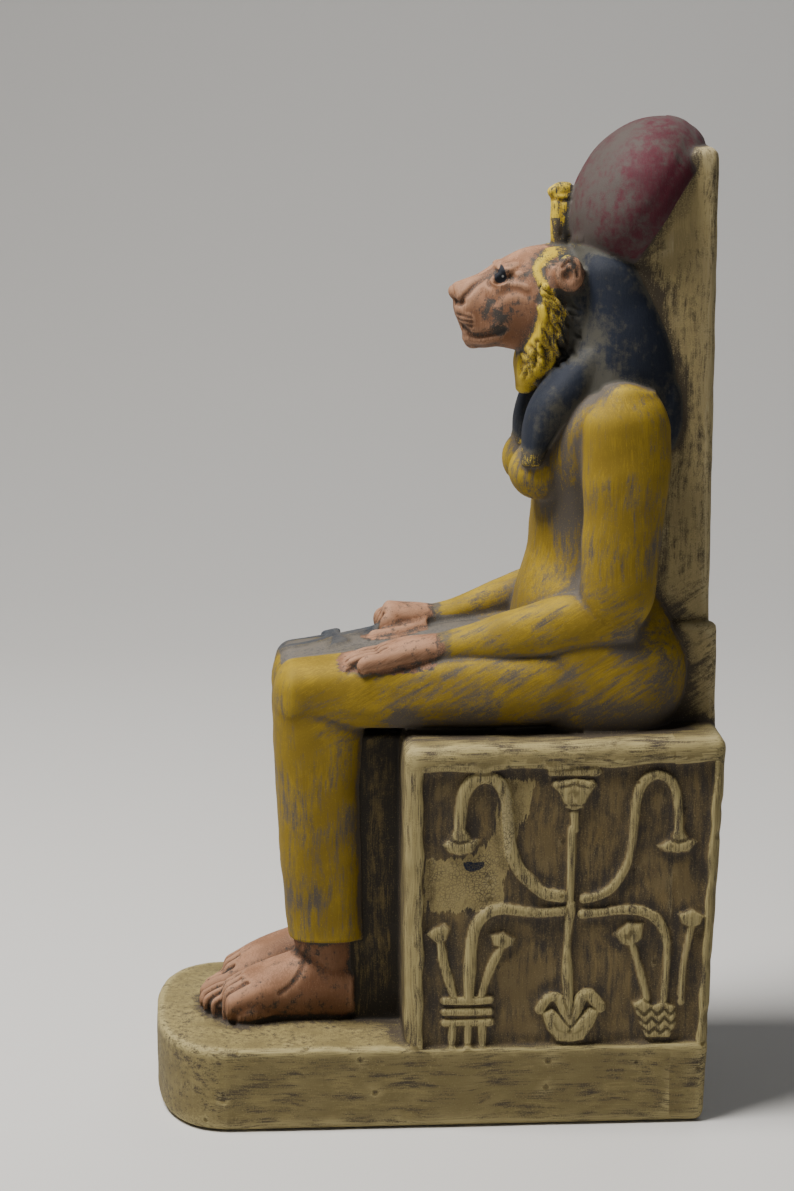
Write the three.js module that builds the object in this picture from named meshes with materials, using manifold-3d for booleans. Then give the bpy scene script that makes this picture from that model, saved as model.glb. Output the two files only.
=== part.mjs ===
// A seated lioness-headed figure with a sun disc, cast in one piece with its throne, back slab and base.
// Millimetres, +Z up. The figure faces -Y, and the origin is the centre of the underside.
import * as THREE from 'three';
import { mergeVertices } from 'three/addons/utils/BufferGeometryUtils.js';
import Module from 'manifold-3d';

// Driving sizes
const figureHeight = 276;      // soles to the top of the disc
const baseWidth = 84;
const baseHeight = 25.3;
const baseEdge = 2;            // rounding of the base's edges
const baseSwell = 2;           // the base's top swells this much under the feet
const noseRise = 1;            // and climbs this much towards its rounded front
const noseDepth = 25;          // how far the rounded front of the base runs back
const toeMargin = 13;          // from the toes to the tip of the base
const throneInset = 0.4;       // the throne's sides stand this far in from the base's
const throneEdge = 3.5;        // rounding of the throne's top
const throneRise = 2;          // the seat climbs this much towards the back
const rearLean = 5;            // the rear leans in this much from the seat down to the floor
const rearLedge = 2.4;         // the throne stands this far out behind the slab
const panelDepth = 1.8;        // recess of the side panels
const panelFrontStrip = 5;
const panelRearStrip = 3.5;
const panelTopBand = 6.7;      // rounded band over the panels
const slabWidth = 36;
const slabThickness = 17;      // from the figure's back to the slab's rear
const slabEdge = 2.5;
const slabReach = 8;           // how far the slab runs forward of the figure's back, under the wig
const slabDrop = 9.5;          // the slab's top lies this far under the disc's top
const footingWidth = 41;       // wider foot of the slab, on the seat
const footingHeight = 31;

// The figure is drawn on a grid of this many squares from the soles to the top of the disc
const gridSquares = 276;
const square = figureHeight / gridSquares;
const seatUp = 93;             // squares from the soles to the seat
const calfForward = 76.5;      // squares from the slab's front to the throne's front
const toeForward = 138.5;      // squares from the slab's front to the toes

// Places that follow from them
const totalLength = toeForward * square + toeMargin + slabThickness + rearLedge;
const rearY = totalLength / 2;
const noseY = -rearY;
const slabRearY = rearY - rearLedge;
const slabFrontY = slabRearY - slabThickness;
const throneFrontY = slabFrontY - calfForward * square;
const throneTop = baseHeight + seatUp * square;
const sunk = 2;                // how deep one form runs into the next

const wasm = await Module();
wasm.setup();

// A closed three.js geometry as a solid, turned right side out
function solid(geometry) {
  geometry.deleteAttribute('normal');
  geometry.deleteAttribute('uv');
  const merged = mergeVertices(geometry, 1e-4);
  const vertProperties = new Float32Array(merged.attributes.position.array);
  const faces = [];
  for (let i = 0; i < merged.index.count; i += 3) {
    const [a, b, c] = merged.index.array.slice(i, i + 3);
    if (a !== b && b !== c && c !== a) faces.push(a, b, c);
  }
  const triVerts = new Uint32Array(faces);
  const body = new wasm.Manifold(new wasm.Mesh({ numProp: 3, vertProperties, triVerts }));
  if (body.volume() > 0) return body;
  for (let i = 0; i < triVerts.length; i += 3) {
    [triVerts[i], triVerts[i + 1]] = [triVerts[i + 1], triVerts[i]];
  }
  return new wasm.Manifold(new wasm.Mesh({ numProp: 3, vertProperties, triVerts }));
}

// Moves every corner of a geometry by a function
function reshape(geometry, move) {
  const corners = geometry.attributes.position;
  const corner = new THREE.Vector3();
  for (let i = 0; i < corners.count; i += 1) {
    corner.fromBufferAttribute(corners, i);
    move(corner);
    corners.setXYZ(i, corner.x, corner.y, corner.z);
  }
  return geometry;
}

// A place on the figure's grid: squares to its left, forward of the slab, and up from the soles
function onGrid(side, forward, up) {
  return new THREE.Vector3(side * square, slabFrontY - forward * square, baseHeight + up * square);
}

// One cross-section of a limb or trunk, in grid squares. Corner 2 is an ellipse and more is squarer;
// egg widens the side that faces up, or forward on a form that is listed from the top down.
function ring(side, forward, up, across, deep, corner = 2, egg = 0) {
  return [side, forward, up, across, deep, corner, egg];
}

// The cross-section at a share t of the way through a list of rings
function ringAt(rings, t) {
  const last = rings.length - 1;
  const place = t * last;
  const index = Math.min(Math.floor(place), last - 1);
  const f = place - index;
  const pick = (n) => rings[THREE.MathUtils.clamp(n, 0, last)];
  return rings[index].map((_, k) => {
    const [a, b, c, d] = [pick(index - 1)[k], pick(index)[k], pick(index + 1)[k], pick(index + 2)[k]];
    return b + 0.5 * f * (c - a + f * (2 * a - 5 * b + 4 * c - d + f * (3 * (b - c) + d - a)));
  });
}

// A closed form through a list of rings. The rings lie flat ('level'), stand across the forward axis
// ('upright') or follow the path ('along'); the ends are rounded out by the two lengths in rounds.
function loft(rings, lie, sides, steps, rounds = [0, 0]) {
  const capRows = rounds.map((length) => (length > 0 ? 2 : 1));
  const rows = capRows[0] + steps + capRows[1];
  const ball = new THREE.SphereGeometry(1, sides, rows);
  const nudge = 1e-3;
  return reshape(ball, (corner) => {
    const row = Math.round((Math.acos(THREE.MathUtils.clamp(corner.y, -1, 1)) / Math.PI) * rows);
    const angle = Math.atan2(corner.z, -corner.x);
    const fromStart = row / capRows[0];
    const fromEnd = (rows - row) / capRows[1];
    const atStart = fromStart < 1;
    const bend = Math.min(fromStart, fromEnd, 1) * Math.PI / 2;
    const overshoot = atStart ? -rounds[0] * Math.cos(bend) : rounds[1] * Math.cos(bend);
    const t = THREE.MathUtils.clamp((row - capRows[0]) / steps, 0, 1);
    const [side, forward, up, across, deep, squareness, egg] = ringAt(rings, t);
    const before = ringAt(rings, Math.max(t - nudge, 0));
    const after = ringAt(rings, Math.min(t + nudge, 1));
    const run = new THREE.Vector2(after[1] - before[1], after[2] - before[2]).normalize();
    let deepAxis = new THREE.Vector2(-run.y, run.x);
    if (lie === 'level') deepAxis = new THREE.Vector2(1, 0);
    if (lie === 'upright') deepAxis = new THREE.Vector2(0, 1);
    const power = 2 / squareness;
    const cosine = Math.cos(angle);
    const sine = Math.sin(angle);
    const shrink = Math.sin(bend);
    const wide = across * shrink * Math.sign(cosine) * Math.abs(cosine) ** power * (1 + egg * sine);
    const thick = deep * shrink * Math.sign(sine) * Math.abs(sine) ** power;
    corner.copy(onGrid(
      side + wide,
      forward + deepAxis.x * thick + run.x * overshoot,
      up + deepAxis.y * thick + run.y * overshoot,
    ));
  });
}

// An egg-shaped bump on the figure, in grid squares, tipped forward by an angle
function bump(side, forward, up, across, deep, tall, sides = 8, rows = 4, tip = 0) {
  const ball = new THREE.SphereGeometry(1, sides, rows).rotateX(Math.PI / 2);
  ball.scale(across * square, deep * square, tall * square).rotateX(tip);
  return ball.translate(...onGrid(side, forward, up).toArray());
}

function mirrored(geometry) {
  return geometry.clone().scale(-1, 1, 1);
}

function joined(geometries) {
  return geometries.map(solid).reduce((whole, next) => whole.add(next));
}

// Both the left form and its mirror image
function pair(...geometries) {
  return geometries.flatMap((geometry) => [geometry, mirrored(geometry)]);
}

// An upright block with rounded top and bottom edges, on a plan outline
function roundedBlock(outline, bottom, top, edge) {
  const block = new THREE.ExtrudeGeometry(outline, {
    depth: top - bottom - 2 * edge,
    bevelThickness: edge,
    bevelSize: edge,
    bevelOffset: -edge,
    bevelSegments: 1,
    curveSegments: 2,
  });
  return block.translate(0, 0, bottom + edge);
}

// The sun disc, in grid squares: half sizes, place of its middle, and from there back to its flat
const disc = { tall: 26.5, wide: 24.5, deep: 19.4, cutBehind: 6.5, forward: 4, up: 250.8 };
const discLean = 0.568;        // radians back from upright

function atDisc(geometry) {
  return geometry.rotateX(-discLean).translate(...onGrid(0, disc.forward, disc.up).toArray());
}

// A plan with rounded corners, a little rounder than the edge that will run along it
function rectangle(width, front, rear, edge) {
  const half = width / 2;
  const corner = 1.5 * edge;
  const outline = new THREE.Shape();
  outline.absarc(half - corner, rear - corner, corner, 0, Math.PI / 2);
  outline.absarc(-half + corner, rear - corner, corner, Math.PI / 2, Math.PI);
  outline.absarc(-half + corner, front + corner, corner, Math.PI, 1.5 * Math.PI);
  outline.absarc(half - corner, front + corner, corner, 1.5 * Math.PI, 2 * Math.PI);
  return outline;
}

// The rear of the base and throne leans in towards the floor; the front stays upright
function leanedRear(geometry) {
  const straightTop = throneTop - throneEdge;
  return reshape(geometry, (corner) => {
    const back = THREE.MathUtils.clamp((corner.y - throneFrontY) / (rearY - throneFrontY), 0, 1);
    corner.y -= rearLean * back * Math.max(0, 1 - corner.z / straightTop);
  });
}

function base() {
  const half = baseWidth / 2;
  const noseSteps = 14;
  const noseCorner = 2.5;
  const outline = new THREE.Shape();
  outline.moveTo(-half, noseY + noseDepth);
  for (let i = 1; i < noseSteps; i += 1) {
    const angle = Math.PI * (1 - i / noseSteps);
    const cosine = Math.cos(angle);
    const across = half * Math.sign(cosine) * Math.abs(cosine) ** (2 / noseCorner);
    outline.lineTo(across, noseY + noseDepth * (1 - Math.sin(angle) ** (2 / noseCorner)));
  }
  outline.lineTo(half, noseY + noseDepth);
  const corner = 1.5 * baseEdge;
  outline.absarc(half - corner, rearY - corner, corner, 0, Math.PI / 2);
  outline.absarc(-half + corner, rearY - corner, corner, Math.PI / 2, Math.PI);
  return reshape(leanedRear(roundedBlock(outline, 0, baseHeight, baseEdge)), (point) => {
    const ahead = THREE.MathUtils.clamp((throneFrontY - point.y) / (throneFrontY - noseY), 0, 1);
    if (point.z > baseHeight / 2) point.z += noseRise * ahead;
  });
}

// The base's top swells towards the feet
function swell() {
  const sink = 4;
  const inset = 1;
  const middleY = (noseY + throneFrontY) / 2;
  const ball = new THREE.SphereGeometry(1, 12, 6).rotateX(Math.PI / 2);
  ball.scale(baseWidth / 2 - inset, throneFrontY - middleY - inset, baseSwell + sink);
  return ball.translate(0, middleY, baseHeight - sink);
}

const panel = {
  front: throneFrontY + panelFrontStrip,
  rear: rearY - panelRearStrip,
  bottom: baseHeight,
  top: throneTop - panelTopBand,
};

function throne() {
  const width = baseWidth - 2 * throneInset;
  const block = roundedBlock(rectangle(width, throneFrontY, rearY, throneEdge), sunk, throneTop, throneEdge);
  reshape(block, (corner) => {
    const back = (corner.y - throneFrontY) / (rearY - throneFrontY);
    if (corner.z > throneTop - 2 * throneEdge) corner.z += throneRise * back;
  });
  let body = solid(leanedRear(block));
  const recess = new THREE.BoxGeometry(2 * panelDepth, panel.rear - panel.front, panel.top - panel.bottom);
  recess.translate(width / 2, (panel.rear + panel.front) / 2, (panel.top + panel.bottom) / 2);
  reshape(recess, (corner) => {
    const back = (corner.y - panel.front) / (panel.rear - panel.front);
    if (corner.z > panel.bottom + sunk) corner.z += throneRise * back;
  });
  for (const side of pair(leanedRear(recess))) body = body.subtract(solid(side));
  return body;
}

// The slab ends along the disc's flat back, which leans on it
function backSlab() {
  const top = baseHeight + figureHeight - slabDrop;
  const front = slabFrontY - slabReach;
  const footingTop = throneTop + throneRise + footingHeight;
  const slab = roundedBlock(rectangle(slabWidth, front, slabRearY, slabEdge), throneTop, top, slabEdge);
  const footing = roundedBlock(
    rectangle(footingWidth, front, rearY, slabEdge), throneTop - slabEdge, footingTop, slabEdge,
  );
  reshape(footing, (corner) => {
    const rise = THREE.MathUtils.clamp((corner.z - throneTop) / footingHeight, 0, 1);
    if (corner.y > slabFrontY) corner.y -= rearLedge * rise;
  });
  const clear = new THREE.BoxGeometry(2 * slabWidth, figureHeight, figureHeight);
  clear.translate(0, disc.cutBehind * square - sunk / 2 - figureHeight / 2, 0);
  return solid(slab).subtract(solid(atDisc(clear))).add(solid(footing));
}

// Side relief: a plant bound round a pole, in hundredths of the panel from its foot and its middle line
function reliefPlace(across, up) {
  const middle = (panel.front + panel.rear) / 2 + reliefShift;
  const wide = (panel.rear - panel.front) / 100;
  const tall = (panel.top - panel.bottom) / 100;
  return new THREE.Vector3(0, middle + across * wide, panel.bottom + up * tall);
}

const stemWidth = 3.2;         // of the relief's round stems
const thickStem = 1.3 * stemWidth;
const reliefHeight = 1.5;      // how far the relief stands out of its panel
const reliefShift = 1.2;       // its pole stands this far behind the panel's middle

// A half-round stem through a few places of the relief
function stem(places, steps, width = stemWidth) {
  const path = new THREE.CatmullRomCurve3(places.map(([across, up]) => reliefPlace(across, up)));
  const corners = 4;
  const section = Array.from({ length: corners }, (_, i) => {
    const angle = (2 * Math.PI * i) / corners;
    return new THREE.Vector2((width / 2) * Math.cos(angle), (width / 2) * Math.sin(angle));
  });
  const tube = new THREE.ExtrudeGeometry(
    new THREE.Shape(section), { steps, extrudePath: path, bevelEnabled: false },
  );
  return tube.scale(reliefHeight / (width / 2), 1, 1);
}

// A flat raised figure of the relief with softened edges
function raised(places) {
  const soft = 0.5;
  const outline = places.map(([across, up]) => {
    const place = reliefPlace(across, up);
    return new THREE.Vector2(place.y, place.z);
  });
  const plate = new THREE.ExtrudeGeometry(new THREE.Shape(outline), {
    depth: 2 * reliefHeight - 2 * soft,
    bevelThickness: soft,
    bevelSize: soft,
    bevelOffset: -soft,
    bevelSegments: 1,
  });
  plate.translate(0, 0, soft - reliefHeight);
  return plate.applyMatrix4(new THREE.Matrix4().makeBasis(
    new THREE.Vector3(0, 1, 0), new THREE.Vector3(0, 0, 1), new THREE.Vector3(1, 0, 0),
  ));
}

// A flaring flower head that hangs (-1) or stands (1) at a place of the relief
function flower(across, up, half, tall, way) {
  return raised([
    [across - half * 0.3, up],
    [across - half, up + way * tall * 0.75],
    [across - half * 0.5, up + way * tall],
    [across + half * 0.5, up + way * tall],
    [across + half, up + way * tall * 0.75],
    [across + half * 0.3, up],
  ]);
}

// Both halves of a figure that repeats to the left and right of the pole
function bothWays(make) {
  return [-1, 1].flatMap(make);
}

function relief(full) {
  const bell = { across: 38, up: 80, half: 7, tall: 10 };
  const upperStem = [[3, 54.5], [12, 57], [19, 66], [22, 88], [28, 98], [35, 94], [38, 79]];
  const lowerStem = [[2, 48.5], [20, 50], [29, 49], [34.5, 42], [34.5, 18]];
  const turned = (places, way) => places.map(([across, up]) => [across * way, up]);
  const shapes = [
    stem([[0, 14], [0, 92]], 1),
    flower(0, 87, 7, 13, 1),
    ...bothWays((way) => [
      stem(turned(upperStem, way), full ? 9 : 7),
      flower(bell.across * way, bell.up, bell.half, bell.tall, -1),
      stem(turned(lowerStem, way), full ? 7 : 5),
    ]),
    flower(0, 14, 5, 12, -1),
  ];
  const bundleMiddle = -35;
  const bundleHalf = 8.2;
  const bandRows = [17.5, 13.2, 9];
  const stalks = [-5.4, 0, 5.4];
  for (const up of bandRows) {
    shapes.push(stem([[bundleMiddle - bundleHalf, up], [bundleMiddle + bundleHalf, up]], 1));
  }
  for (const across of stalks) {
    shapes.push(stem([[bundleMiddle + across, 8], [bundleMiddle + across, 1]], 1));
  }
  const basketMiddle = 33;
  const basketHalf = [[7.6, 15.5], [7, 7], [4.2, 2]];
  shapes.push(raised([
    ...basketHalf.map(([across, up]) => [basketMiddle - across, up]),
    ...basketHalf.map(([across, up]) => [basketMiddle + across, up]).reverse(),
  ]));
  if (full) {
    const petal = [[1, 4], [5, 7], [6.5, 14], [8.5, 17], [10.5, 14]];
    const buds = [[22, 28, 40], [44, 38, 42]];
    shapes.push(...bothWays((way) => [stem(turned(petal, way), 4, thickStem)]));
    for (const [flowerAcross, footAcross, up] of buds) {
      shapes.push(...bothWays((way) => [
        stem(turned([[footAcross, 17], [(flowerAcross + footAcross) / 2, 28], [flowerAcross, up]], way), 3),
        flower(flowerAcross * way, up - 2, 4.4, 6, 1),
      ]));
    }
  }
  return shapes;
}

// Both side reliefs; the right one is plainer
function reliefs() {
  const face = baseWidth / 2 - throneInset - panelDepth;
  const place = (geometry) => leanedRear(geometry.translate(face, 0, 0));
  return [
    ...relief(true).map(place),
    ...relief(false).map((geometry) => mirrored(place(geometry))),
  ];
}

function trunk() {
  const body = loft([
    ring(0, 13, 200, 20, 10),              // under the wig
    ring(0, 15, 191, 29, 15, 2.2),         // shoulders
    ring(0, 18.5, 176, 26, 18, 2.2),       // chest
    ring(0, 18, 160, 22, 17.5, 2.2),
    ring(0, 18, 145, 22.5, 18.5, 2.3),     // waist
    ring(0, 17, 130, 28.5, 23, 2.6),
    ring(0, 15, 117, 32.8, 26.3, 3),       // hips
    ring(0, 14.6, 105, 33.3, 25.9, 3.1),
    ring(0, 14.6, 95.5, 31, 22.5, 3),      // on the seat
  ], 'level', 16, 9, [3, 2.5]);
  return [body, ...pair(bump(11, 34.5, 171, 9.5, 9, 9, 10, 5))];
}

// Two legs under a close dress, and the web of material that joins them to the throne
function legs() {
  const thigh = loft([
    ring(15.5, 12, 109.5, 17, 14.5, 2.4),
    ring(15.5, 45, 107.2, 16.5, 13.4, 2.5),
    ring(13, 76, 105.2, 13.6, 11.7, 2.8),
    ring(11, 99, 103.8, 11.8, 10.6, 3),
    ring(10.6, 108, 103.2, 11.3, 10, 2.8), // knee
  ], 'upright', 12, 4, [0, 6.4]);
  const shin = loft([
    ring(10.6, 100.5, 104, 10.5, 12.6, 2.7),
    ring(10.6, 100.7, 95, 11.3, 13.8, 2.8),
    ring(10.6, 101, 76, 11.3, 12.8, 2.8),
    ring(10.6, 100.3, 55, 11.2, 12.6, 2.8),
    ring(10.8, 99, 27, 11.4, 11.5, 2.8),   // hem
  ], 'level', 12, 3, [4, 0]);
  const webHalf = 17;
  const webFrontY = slabFrontY - 92 * square;
  const web = roundedBlock(
    rectangle(2 * webHalf * square, webFrontY, throneFrontY + 4 * sunk, sunk),
    baseHeight - sunk, throneTop - sunk, sunk / 2,
  );
  return [...pair(thigh, shin), web];
}

function feet() {
  const foot = loft([
    ring(10.5, 91, 9.5, 7.8, 9, 2.3),      // heel
    ring(10.6, 101, 11.5, 8.6, 12, 2.3),
    ring(10.9, 112, 10.3, 9.7, 10, 2.3),   // instep
    ring(11.2, 122, 8.2, 10.3, 7.6, 2.3),
    ring(11.5, 129, 6, 10, 5.8, 2.3),      // ball
  ], 'upright', 8, 4, [0, 2.5]);
  const ankle = loft([
    ring(10.5, 100, 34, 8.5, 10),
    ring(10.5, 99, 20, 8, 9.5),
    ring(10.5, 98, 8, 7.5, 9),
  ], 'level', 8, 1);
  const toes = [];
  const toeCount = 5;
  const [bigToeHalf, littleToeHalf] = [2.9, 1.8];
  const [bigToeSide, toeSpread] = [3.8, 16];
  const toeSweep = 11;                     // how far the little toe stays behind the big one
  for (let i = 0; i < toeCount; i += 1) {
    const share = i / (toeCount - 1);
    const half = THREE.MathUtils.lerp(bigToeHalf, littleToeHalf, Math.sqrt(share));
    const side = bigToeSide + toeSpread * share;
    const tip = toeForward - half * 0.9 - toeSweep * share ** 1.6;
    toes.push(loft([
      ring(side - 1.6 * share, tip - 11, 6.6, half, 3.6),
      ring(side, tip - 4, 5.2, half, 3.6),
      ring(side, tip, 4, half * 0.95, 2.9),
    ], 'upright', 5, 1, [0, half * 0.9]));
  }
  return pair(foot, ankle, ...toes);
}

function arms() {
  const upperArm = loft([
    ring(24, 9.5, 197, 7, 8),
    ring(26, 10.5, 189, 8.6, 12.4, 2.2),   // shoulder
    ring(26.5, 10.3, 176, 8.8, 13.2, 2.2),
    ring(27, 11, 160, 8.2, 12.2, 2.2),
    ring(27.5, 12, 146, 7.8, 11.5, 2.2),
    ring(27.5, 13, 133, 7.6, 11, 2.2),
    ring(27, 14.5, 126.5, 6.5, 9, 2.2),    // elbow
  ], 'level', 10, 5, [2, 2]);
  const forearm = loft([
    ring(27, 9, 128, 7, 6.6, 2.2),
    ring(26, 26, 127.2, 7.2, 8.6, 2.2),
    ring(23.5, 44, 123, 6.6, 7.3, 2.2),
    ring(20.5, 58, 119.6, 5.6, 5.4, 2.2),
    ring(19.5, 67, 118.2, 5.2, 4.5, 2.2),  // wrist
  ], 'upright', 10, 4, [3, 0]);
  return pair(upperArm, forearm);
}

const fingerCount = 4;

// The left hand lies flat on the thigh
function flatHand() {
  const palm = loft([
    ring(19.8, 63, 118.8, 5.2, 4.5),
    ring(18.5, 74, 117.6, 7.4, 4.3, 2.4),
    ring(18, 82, 115.8, 7.6, 3.6, 2.5),
  ], 'upright', 10, 3, [0, 2]);
  const fingers = [];
  const [firstSide, fingerPitch] = [12.5, 3.7];
  const longest = 1.2;
  for (let i = 0; i < fingerCount; i += 1) {
    const side = firstSide + fingerPitch * i;
    const reach = 93.5 - 1.1 * (i - longest) ** 2;
    fingers.push(loft([
      ring(side, 78, 116, 2, 2.6),
      ring(side, 86, 115, 1.95, 2.5),
      ring(side, reach - 1.8, 113.8, 1.7, 2),
    ], 'along', 6, 3, [0, 1.6]));
  }
  const thumb = loft([
    ring(15, 66, 118.4, 2.4, 3),
    ring(10.6, 74, 117, 2.3, 2.7),
    ring(9.6, 81, 115.4, 1.9, 2.3),
  ], 'along', 6, 3, [0, 1.6]);
  return [palm, ...fingers, thumb];
}

// The right hand is a fist round the loop of an ankh that lies on the lap
function fistAndAnkh() {
  const fist = loft([
    ring(-19.8, 63, 118.8, 5.2, 4.4),
    ring(-19, 71, 119.3, 6.6, 4.9, 2.4),
    ring(-18.5, 77.5, 119.8, 6.6, 5.4, 2.4),
  ], 'upright', 10, 3, [0, 3]);
  const fingers = [];
  const [outerSide, knucklePitch] = [-23.5, 3.5];
  for (let i = 0; i < fingerCount; i += 1) {
    fingers.push(bump(outerSide + knucklePitch * i, 79 - 0.4 * i, 118, 2, 3.6, 4.3, 6, 4));
  }
  const thumb = loft([
    ring(-14, 66, 117.6, 2.4, 3),
    ring(-10.5, 75, 116.4, 2.1, 2.3),
    ring(-10, 83, 115.6, 1.9, 2.1),
  ], 'along', 6, 3, [0, 1.6]);
  return [fist, ...fingers, thumb, ankh()];
}

// The ankh lies on the right thigh: flared foot at the knee, flared arms, and its loop inside the fist
function ankh() {
  const lapTop = 112.2;          // under its arms
  const thick = 3;
  const sink = 1.5;
  const arms = 27;               // from its loop to its arms
  const half = [[1.6, 0], [1.6, arms - 1.5], [8.5, arms - 3], [9.5, arms + 3], [1.9, arms + 1.5], [4, 43]];
  const outline = [...half, ...half.map(([across, along]) => [-across, along]).reverse()];
  const plate = new THREE.ExtrudeGeometry(
    new THREE.Shape(outline.map(([across, along]) => new THREE.Vector2(across, along))),
    { depth: thick + sink, bevelEnabled: false },
  );
  const [startSide, startForward] = [-17.5, 68];
  const turn = -0.12;
  const droop = 0.22;
  return reshape(plate.rotateZ(turn), (corner) => {
    const up = lapTop - sink + corner.z + droop * (arms - corner.y);
    corner.copy(onGrid(startSide + corner.x, startForward + corner.y, up));
  });
}

function wig() {
  const crown = loft([
    ring(0, 16.5, 236.5, 16.5, 8.8),
    ring(0, 14.2, 231.3, 20.6, 12, 2.2),
    ring(0, 11.3, 221, 22, 14.4, 2.3),
    ring(0, 9.8, 211, 23.5, 17.4, 2.3),
    ring(0, 10.8, 199, 24.5, 20.8, 2.4),
    ring(0, 11.7, 187, 24, 22, 2.4),       // over the shoulders
  ], 'level', 16, 7, [3, 0]);
  const backLobe = loft([
    ring(0, 4, 212, 18, 8, 2.3),
    ring(0, -0.5, 196, 21, 9.3, 2.5),
    ring(0, -1, 186, 21.5, 9.3, 2.6),
    ring(0, 1, 178.5, 21, 8.8, 2.7),       // lower edge behind the shoulders
  ], 'level', 12, 4, [0, 1.5]);
  const lappet = loft([
    ring(14, 17, 208, 8, 7, 2.2),
    ring(14.5, 27, 195, 9.2, 8.8, 2.4),
    ring(13.7, 34.3, 184, 9.2, 5.1, 2.6),
    ring(13, 37, 175.5, 9, 2.9, 2.7),      // beaded end
  ], 'level', 10, 4, [0, 1.2]);
  return [crown, backLobe, ...pair(lappet)];
}

function head() {
  const skull = loft([
    ring(0, 22, 220, 17.5, 17.5, 2.2),
    ring(0, 32, 220, 16.8, 17, 2.2, -0.05),
    ring(0, 40, 220.5, 14.8, 15, 2.2, -0.08),
    ring(0, 46, 219.4, 12.3, 12.9, 2.2, -0.12),
    ring(0, 51.5, 217.4, 9.8, 11.4, 2.3, -0.1),
    ring(0, 56, 218, 8.2, 8.8, 2.4),
    ring(0, 58.6, 220.6, 6.4, 5.2, 2.4),
  ], 'upright', 14, 7, [0, 1.2]);
  const nosePad = bump(0, 58.6, 223, 3.7, 2.5, 2.1, 8, 4, -0.4);
  const chin = bump(0, 53.3, 208.6, 4.8, 3.2, 2.9);
  const whiskerPad = bump(4.8, 54, 216.2, 4.3, 4.4, 4.4);
  const brow = bump(7.4, 43.6, 231, 3.2, 4.2, 2, 6, 4, 0.4);
  const eye = bump(9, 46.2, 228.4, 1.7, 2.3, 2.3);
  const earShell = bump(18, 26.7, 230.2, 3.2, 4.4, 5.5, 8, 6);
  const earHollow = bump(21, 27.7, 230, 2.4, 2.7, 3.7);
  const ears = pair(earShell).map(solid).reduce((whole, next) => whole.add(next));
  const hollows = pair(earHollow).map(solid).reduce((whole, next) => whole.add(next));
  const face = joined([skull, nosePad, chin, ...pair(whiskerPad, brow, eye)]);
  return face.add(ears.subtract(hollows));
}

// The short mane round the face, in locks that sweep back and end in a point under the chin
function mane() {
  const collar = loft([
    ring(0, 30.5, 232, 16.6, 3.6, 3),
    ring(0, 30.8, 221, 18.2, 5.6, 3.6),
    ring(0, 32, 211, 18, 6.6, 3.6),
    ring(0, 35, 202, 14, 5.8, 3.4),
    ring(0, 37.5, 195, 6, 3, 2.4),
  ], 'level', 12, 5, [1.5, 2.5]);
  const locks = [];
  const lockCount = 4;
  for (let i = 0; i < lockCount; i += 1) {
    const share = i / (lockCount - 1);
    const side = THREE.MathUtils.lerp(18.2, 8.7, share ** 2);
    const up = THREE.MathUtils.lerp(225, 203, share);
    locks.push(loft([
      ring(side - 0.6, 34.5 + 2.5 * share, up + 1, 1, 1.2),
      ring(side, 31 + 4 * share, up - 3, 1.4, 2.6),
      ring(side - 0.4, 26 + 7 * share, up - 8.5, 0.8, 0.8),
    ], 'along', 4, 2));
  }
  return [collar, ...pair(...locks)];
}

function cobra() {
  const hood = loft([
    ring(0, 26.8, 235, 3, 3),
    ring(0, 27, 243, 3.6, 3.1, 2.2),
    ring(0, 27, 251.4, 2.7, 3.1, 2.2),
  ], 'level', 8, 3, [1, 1]);
  const snout = loft([
    ring(0, 25, 253, 1.8, 2.4),
    ring(0, 28, 253.2, 2.2, 2.1),
    ring(0, 30.6, 252.8, 1.8, 1.6),
  ], 'upright', 6, 3, [0.8, 0.9]);
  return [hood, snout];
}

// The sun disc leans back on the slab: a deep round lens, cut flat behind
function sunDisc() {
  const sides = 20;
  const lens = new THREE.LatheGeometry(lensProfile(disc.cutBehind / disc.deep), sides);
  return atDisc(lens.scale(disc.wide * square, disc.deep * square, disc.tall * square));
}

// Half the outline of a lens of radius 1, from its front pole round to the middle of its flat back
function lensProfile(cut) {
  const steps = 7;
  const endAngle = Math.acos(-cut);
  const points = [];
  for (let i = 0; i <= steps; i += 1) {
    const angle = (endAngle * i) / steps;
    points.push(new THREE.Vector2(Math.sin(angle), -Math.cos(angle)));
  }
  points[0].x = 0;
  points.push(new THREE.Vector2(0, cut));
  return points;
}

const statueForms = [
  base(),
  swell(),
  ...reliefs(),
  ...trunk(),
  ...legs(),
  ...feet(),
  ...arms(),
  ...flatHand(),
  ...fistAndAnkh(),
  ...wig(),
  ...mane(),
  ...cobra(),
  sunDisc(),
];
const statueSolid = joined(statueForms).add(throne()).add(backSlab()).add(head());

// The joined solid as a three.js geometry
function asGeometry(body) {
  const mesh = body.getMesh();
  const geometry = new THREE.BufferGeometry();
  geometry.setAttribute('position', new THREE.Float32BufferAttribute(mesh.vertProperties, 3));
  geometry.setIndex(new THREE.BufferAttribute(mesh.triVerts, 1));
  geometry.computeVertexNormals();
  return geometry;
}

const statue = new THREE.Mesh(
  asGeometry(statueSolid),
  new THREE.MeshStandardMaterial({ color: 0xa88a3c, roughness: 0.8, metalness: 0 }),
);
statue.name = 'sekhmet_statue';

const part = new THREE.Group();
part.add(statue);
export default part;
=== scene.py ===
# A painted cast of a seated lioness-headed goddess. Its forms are fused into one skin, carved, then painted.
from math import pi, radians
import bmesh
import bpy
import numpy as np
from mathutils import Matrix, Vector
from mathutils.bvhtree import BVHTree


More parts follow.
